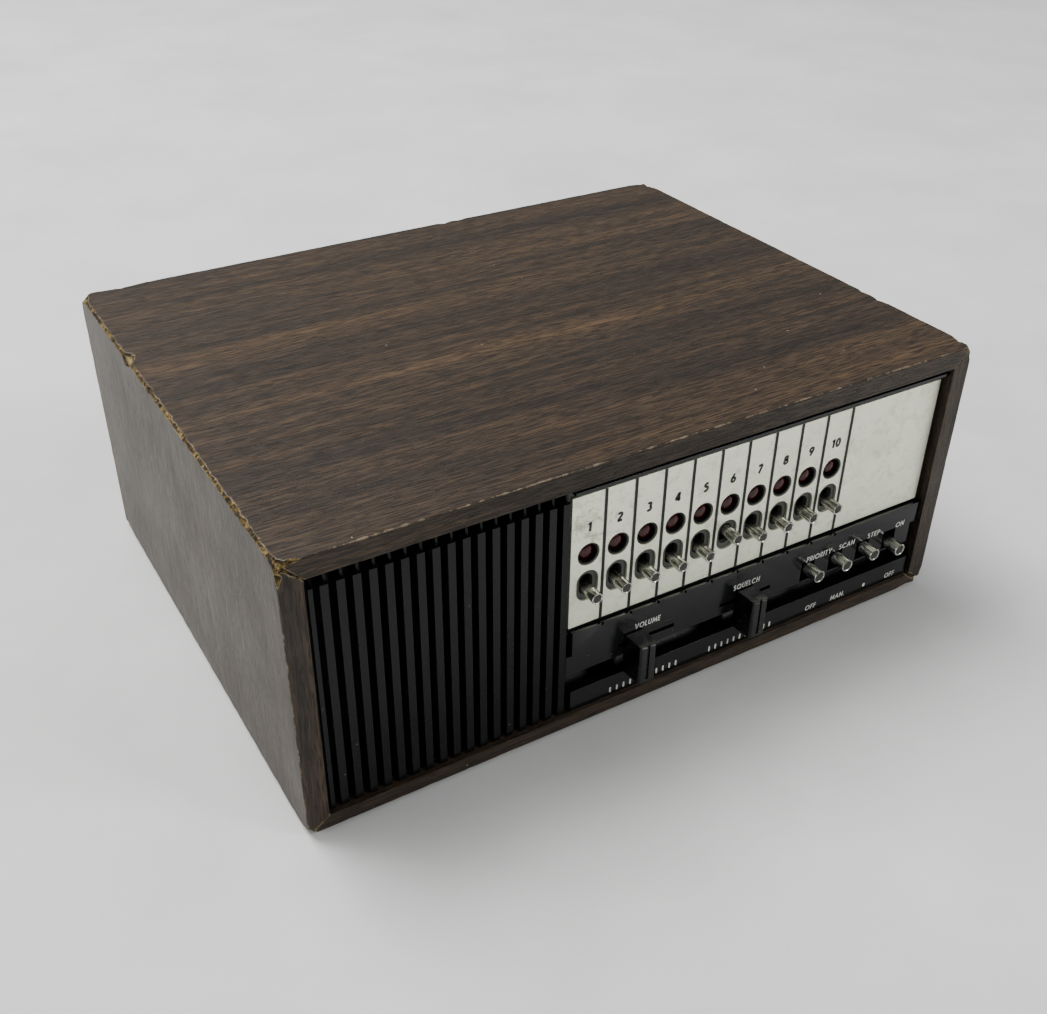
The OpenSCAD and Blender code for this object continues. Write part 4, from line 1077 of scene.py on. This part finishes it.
STEM = line(0.1, 0, 0.1, 1)
RING = curve(0.5, 0.5, 0.41, 0.41, 0, 360)
BOWL = [STEM, line(0.1, 0.91, 0.28, 0.91), curve(0.28, 0.69, 0.22, 0.22, 90, -90),
        line(0.1, 0.47, 0.28, 0.47)]
FLAG = [STEM, line(0.1, 0.91, 0.5, 0.91), line(0.1, 0.5, 0.46, 0.5)]
LETTERS = {
    "A": (0.80, [line(0.06, 0, 0.4, 0.98), line(0.4, 0.98, 0.74, 0), line(0.2, 0.3, 0.6, 0.3)]),
    "C": (0.90, [curve(0.5, 0.5, 0.41, 0.41, 48, 312)]),
    "D": (0.74, [STEM, line(0.1, 0.91, 0.26, 0.91), curve(0.26, 0.5, 0.38, 0.41, 90, -90),
                 line(0.26, 0.09, 0.1, 0.09)]),
    "E": (0.52, FLAG + [line(0.1, 0.09, 0.5, 0.09)]),
    "F": (0.52, FLAG),
    "H": (0.72, [STEM, line(0.62, 0, 0.62, 1), line(0.1, 0.5, 0.62, 0.5)]),
    "I": (0.20, [STEM]),
    "K": (0.66, [STEM, line(0.1, 0.36, 0.58, 1), line(0.26, 0.57, 0.62, 0)]),
    "L": (0.48, [STEM, line(0.1, 0.09, 0.46, 0.09)]),
    "M": (0.95, [line(0.08, 0, 0.18, 1), line(0.18, 1, 0.475, 0.1), line(0.475, 0.1, 0.77, 1),
                 line(0.77, 1, 0.87, 0)]),
    "N": (0.76, [STEM, line(0.1, 1, 0.66, 0), line(0.66, 0, 0.66, 1)]),
    "O": (1.00, [RING]),
    "P": (0.56, BOWL),
    "Q": (1.00, [RING, line(0.6, 0.32, 0.93, 0)]),
    "R": (0.60, BOWL + [line(0.3, 0.47, 0.55, 0)]),
    "S": (0.56, [curve(0.28, 0.73, 0.18, 0.18, 40, 270), curve(0.28, 0.3, 0.2, 0.21, 90, -140)]),
    "T": (0.60, [line(0.3, 0, 0.3, 1), line(0.02, 0.91, 0.58, 0.91)]),
    "U": (0.72, [line(0.1, 1, 0.1, 0.35), curve(0.36, 0.35, 0.26, 0.26, 180, 360),
                 line(0.62, 0.35, 0.62, 1)]),
    "V": (0.78, [line(0.05, 1, 0.39, 0.02), line(0.39, 0.02, 0.73, 1)]),
    "X": (0.74, [line(0.06, 0, 0.68, 1), line(0.06, 1, 0.68, 0)]),
    "Y": (0.70, [line(0.35, 0, 0.35, 0.46), line(0.35, 0.42, 0.05, 1), line(0.35, 0.42, 0.65, 1)]),
    ".": (0.20, [line(0.1, 0, 0.1, 0.17)]),
    " ": (0.40, []),
    "0": (0.62, [curve(0.31, 0.5, 0.22, 0.41, 0, 360)]),
    "1": (0.36, [line(0.22, 0, 0.22, 1), line(0.22, 0.92, 0.02, 0.74)]),
    "2": (0.60, [curve(0.29, 0.7, 0.2, 0.21, 165, -35), line(0.46, 0.6, 0.08, 0.1),
                 line(0.04, 0.09, 0.56, 0.09)]),
    "3": (0.58, [curve(0.26, 0.73, 0.18, 0.18, 150, -90), curve(0.26, 0.3, 0.21, 0.21, 90, -150)]),
    "4": (0.66, [line(0.44, 0, 0.44, 1), line(0.42, 0.95, 0.05, 0.28), line(0.02, 0.25, 0.63, 0.25)]),
    "5": (0.58, [line(0.16, 0.91, 0.52, 0.91), line(0.17, 0.95, 0.11, 0.55),
                 curve(0.27, 0.33, 0.22, 0.24, 125, -140)]),
    "6": (0.62, [curve(0.31, 0.31, 0.22, 0.22, 0, 360), line(0.12, 0.44, 0.4, 0.98)]),
    "7": (0.58, [line(0.04, 0.91, 0.56, 0.91), line(0.53, 0.9, 0.2, 0)]),
    "8": (0.62, [curve(0.31, 0.73, 0.18, 0.18, 0, 360), curve(0.31, 0.3, 0.22, 0.21, 0, 360)]),
    "9": (0.62, [curve(0.31, 0.69, 0.22, 0.22, 0, 360), line(0.5, 0.56, 0.22, 0.02)]),
}
print(len(LETTERS), "letters, digits and marks")

# %% [markdown]
# Ink has hardly any thickness, so a word is a very thin solid on the face that
# carries it. A stroke becomes a flat bar: its points, moved half its weight to both
# sides. The scale marks beside the sliders are small bars with round ends.

# %% Words and marks in ink
INK = 0.03 * MM
LETTER_GAP = 0.14


def word_length(text):
    """The length of a word in capital heights: its letters' widths and the gaps between them."""
    return sum(LETTERS[letter][0] + LETTER_GAP for letter in text) - LETTER_GAP


def word_shape(text, width, height, x, z, face_y, slant=0.1, weight=0.15):
    """A word fitted to width x height and centred on (x, z), on the plane y = face_y. Each stroke
    is a flat bar: its points, moved half the weight to both sides, in two layers."""
    total = word_length(text)
    bars, at = [], 0.0
    for letter in text:
        for path in LETTERS[letter][1]:
            way = np.gradient(path, axis=0)
            length = np.linalg.norm(way, axis=1)[:, None]
            side = np.stack([-way[:, 1], way[:, 0]], -1) * weight / 2 / length
            edge = np.stack([path + side, path - side, path - side, path + side], axis=1)
            across = (edge[:, :, 0] + at) / total - 0.5
            rise = edge[:, :, 1] - 0.5
            grid = np.empty((len(path), 4, 3))
            grid[:, :, 0] = x + across * width + rise * height * slant
            grid[:, :, 1] = face_y - INK * np.array([1, 1, 0, 0])
            grid[:, :, 2] = z + rise * height
            bars.append(loft(grid))
        at += LETTERS[letter][0] + LETTER_GAP
    return joined(bars)


def bar_shape(x, z, width, height, face_y):
    """A thin upright bar of ink with round ends: a straight run between two half circles."""
    a = np.linspace(0, math.pi, 7)
    half = height / 2 - width / 2
    outline = np.concatenate([
        np.stack([np.cos(a) * width / 2, half + np.sin(a) * width / 2], -1),
        np.stack([-np.cos(a) * width / 2, -half - np.sin(a) * width / 2], -1),
    ])
    grid = np.empty((2, len(outline), 3))
    grid[:, :, 0] = x + outline[:, 0]
    grid[:, :, 2] = z + outline[:, 1]
    grid[:, :, 1] = np.array([face_y - INK, face_y])[:, None]
    return loft(grid)


print("SCAN is", round(word_length("SCAN"), 2), "capitals long")

# %% [markdown]
# The words stand on two lines of the black panel: the names and upper positions of
# the controls above, and the lower positions below. Those of the function levers
# stand a little to the right of the lever. The lower position of step is a dot.

# %% Words on the panel
band_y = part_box("control_panel")[0].y
under = outer_low.z
slider_x = {word: middle_x(word + "_control") for word in ("volume", "squelch")}
BESIDE_LEVER, CAPITAL = 5.1 * MM, 2.35 * MM
beside = {word: middle_x(word + "_lever") + BESIDE_LEVER for word in FUNCTIONS}
HIGH_LINE, LOW_LINE = under + 32.7 * MM, under + 8.3 * MM
DOT_WIDE, DOT_HIGH = 1.3 * MM, 1.7 * MM
# Word, its middle, its line, its width in mm
WORDS = [
    ("VOLUME", slider_x["volume"], HIGH_LINE, 10.8),
    ("SQUELCH", slider_x["squelch"], HIGH_LINE, 12.1),
    ("PRIORITY", beside["priority"], HIGH_LINE, 12.3),
    ("SCAN", beside["scan"], HIGH_LINE, 7.9),
    ("STEP", beside["step"], HIGH_LINE, 6.4),
    ("ON", beside["power"], HIGH_LINE, 4.4),
    ("OFF", beside["priority"], LOW_LINE, 5.3),
    ("MAN.", beside["scan"], LOW_LINE, 7.2),
    ("OFF", beside["power"], LOW_LINE, 5.3),
]
shapes = [word_shape(word, wide * MM, CAPITAL, x, z, band_y) for word, x, z, wide in WORDS]
shapes.append(bar_shape(beside["step"], LOW_LINE, DOT_WIDE, DOT_HIGH, band_y))
piece("panel_words", joined(shapes), white_ink)
print(len(WORDS), "words and a dot")

# %% [markdown]
# Below each slider is a scale of eleven marks, with its middle mark under the middle
# of the slot. The channel numbers are heavier, almost upright, and stand above the
# lamps on the silver plate.

# %% Scales and channel numbers
MARK_STEP, MARKS = 2.87 * MM, 11
MARK_WIDE, MARK_HIGH = 0.75 * MM, 2.4 * MM
mark_line = under + 8.1 * MM
from_middle = [(i - (MARKS - 1) / 2) * MARK_STEP for i in range(MARKS)]
marks = [bar_shape(x + offset, mark_line, MARK_WIDE, MARK_HIGH, band_y)
         for x in slider_x.values() for offset in from_middle]
piece("slider_scales", joined(marks), white_ink)

NUMBER_HIGH, NUMBER_SLANT, NUMBER_WEIGHT = 3.5 * MM, 0.05, 0.29
number_line = under + 80.3 * MM
numbers = [
    word_shape(str(k), word_length(str(k)) * NUMBER_HIGH, NUMBER_HIGH, x, number_line, plate_low.y,
               NUMBER_SLANT, NUMBER_WEIGHT)
    for k, x in zip(CHANNELS, channel_x)
]
piece("channel_numbers", joined(numbers), black_ink)
print(len(marks), "marks and", len(numbers), "numbers")

# %% [markdown]
# The back carries the sockets. The aerial socket's barrel is threaded outside, and a
# thread is a ridge wound round it: the radius depends on how far along the barrel a
# point is, less the part of a turn that the point is round it. Its square flange is
# a superellipse, a circle whose powers are raised until it is nearly a square.

# %% Aerial socket
AROUND = 72
THREAD_R, THREAD_DEEP, THREAD_STEP = 7.9 * MM, 0.6 * MM, 0.13 * MM
PITCH = 25.4 / 24 * MM
TAIL_R, TAIL_UNDER = 6.0 * MM, 1 * MM
# The open end as (radius, how deep behind the tip) in mm: the mouth, the insulator that stands in
# it, then the hole of the centre contact
MOUTH = [(5.5, 0), (5.5, 11), (3.0, 11), (3.0, 3), (2.0, 3), (2.0, 12), (0.02, 12)]
FLANGE_THICK, FLANGE_EDGE, FLANGE_POWER, LID_R = 2 * MM, 0.3 * MM, 16, 10 * MM
aerial_low, aerial_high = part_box("aerial_socket")
aerial_x, aerial_z = (aerial_low.x + aerial_high.x) / 2, (aerial_low.z + aerial_high.z) / 2
back_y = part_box("chassis")[1].y


def rings(x, z, radius, y):
    """A loft about a line along Y from radii, one row a ring, and the depth of each ring."""
    angle = np.linspace(0, 2 * math.pi, radius.shape[1], endpoint=False)
    depth = np.repeat(np.asarray(y)[:, None], radius.shape[1], 1)
    return loft(np.stack([x + radius * np.cos(angle), depth, z + radius * np.sin(angle)], -1))


def threaded(y, around, radius, pitch, deep):
    """Radii of a thread: radius - deep * |triangle wave of (y / pitch - turn)|, faded at the ends."""
    turn = y[:, None] / pitch - np.arange(around)[None, :] / around
    ridge = np.abs((turn % 1) * 2 - 1)
    fade = np.clip(np.minimum(y - y[0], y[-1] - y) / (pitch * 0.8), 0, 1)[:, None]
    return radius - deep * (1 - ridge * fade)


def aerial_barrel():
    """Tail, threaded barrel and open end as one outline of radii and depths."""
    tip, flange_top = aerial_high.y, back_y + FLANGE_THICK
    y = np.arange(flange_top, tip, THREAD_STEP)
    winding = threaded(y, AROUND, THREAD_R, PITCH, THREAD_DEEP)
    tail = np.array([(AXIS_R, aerial_low.y), (TAIL_R, aerial_low.y), (TAIL_R, flange_top - TAIL_UNDER)])
    mouth = np.array([(radius * MM, tip - deep * MM) for radius, deep in MOUTH])
    tail_radii, mouth_radii = (np.repeat(part[:, :1], AROUND, 1) for part in (tail, mouth))
    return rings(aerial_x, aerial_z, np.concatenate([tail_radii, winding, mouth_radii]),
                 np.concatenate([tail[:, 1], y, mouth[:, 1]]))


def aerial_flange():
    """A square plate. Each ring is its size times the superellipse radius
    (|cos a|^n + |sin a|^n)^(-1/n), and both faces have a small chamfer."""
    a = np.linspace(0, 2 * math.pi, AROUND, endpoint=False)
    square = (np.abs(np.cos(a)) ** FLANGE_POWER + np.abs(np.sin(a)) ** FLANGE_POWER) ** (-1 / FLANGE_POWER)
    half = (aerial_high.x - aerial_low.x) / 2
    inside = half - FLANGE_EDGE
    size = np.array([LID_R, inside, half, half, inside, LID_R])[:, None]
    edge_end = FLANGE_THICK - FLANGE_EDGE
    depth = back_y + np.array([0, 0, FLANGE_EDGE, edge_end, FLANGE_THICK, FLANGE_THICK])
    return rings(aerial_x, aerial_z, size * square[None, :], depth)


aerial = joined([aerial_barrel(), aerial_flange()])
piece("threaded_aerial_socket", aerial, socket_nickel, slot="nickel", replaces=("aerial_socket",), sharp=28)
print("aerial socket of", len(aerial[1]), "faces")

# %% [markdown]
# The bent sheet of the chassis and the other sockets have the right shape already,
# so they are rounded copies, each with the radius that its edge would have.

# %% Chassis and other sockets
# Part, finish, slot, radius of its edges in mm
BACK = [
    ("chassis", chassis_sheet, "chassis_steel", 0.15),
    ("speaker_socket", socket_nickel, "nickel", 0.12),
    ("supply_socket", inner_black, "black_plastic", 0.15),
    ("fuse_holder", inner_black, "black_plastic", 0.2),
    ("mains_grommet", foot_rubber, "rubber", 0.3),
    ("chassis_screws", zinc, "zinc_steel", 0.15),
]
for node, finish, slot, radius in BACK:
    rounded(node, radius * MM, finish)
print(len(BACK), "parts at the back")

# %% [markdown]
# Each socket has a word beside it. Seen from behind, a word runs the other way along
# X, so its width is negative.

# %% Words on the back
LABEL_HIGH = 2.4 * MM
# Word, the part it belongs to, how far above that part's middle, width, both in mm
BACK_WORDS = [
    ("ANT.", "aerial_socket", -17.5, 7.0),
    ("EXT. SPKR.", "speaker_socket", 9.5, 15.5),
    ("DC IN", "supply_socket", 11.0, 9.0),
    ("FUSE", "fuse_holder", 12.5, 8.0),
]
labels = []
for word, node, above, wide in BACK_WORDS:
    low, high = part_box(node)
    z = (low.z + high.z) / 2 + above * MM
    labels.append(word_shape(word, -wide * MM, LABEL_HIGH, middle_x(node), z, back_y + INK, slant=0.0))
piece("back_words", joined(labels), black_ink)
print(len(labels), "words on the back")

# %% [markdown]
# What is left keeps its exact mesh and only gets a finish on its own slots.

# %% Finishes for the parts inside
INSIDE = {
    speaker_cloth: ["grille_cloth"],
    cone_paper: ["speaker_cone"],
    zinc: ["speaker_basket", "speaker_screws", "display_screws", "standoffs", "board_screws", "strap_screws",
           "transformer_strap", "volume_slider", "squelch_slider", "volume_control", "squelch_control"],
    magnet_steel: ["speaker_magnet"],
    inner_black: ["channel_dividers", "channel_switches", "function_switches", "crystal_sockets"],
    board_green: ["display_board", "receiver_board"],
    can_metal: ["crystals", "coil_cans"],
    chip_black: ["logic_chips"],
    sleeve_blue: ["capacitors"],
    core_steel: ["transformer_core"],
    winding_tape: ["transformer_coil"],
}
for finish, nodes in INSIDE.items():
    for node in nodes:
        for material_slot in frame["nodes"][node].material_slots:
            material_slot.material = finish
print(sum(len(nodes) for nodes in INSIDE.values()), "parts dressed")
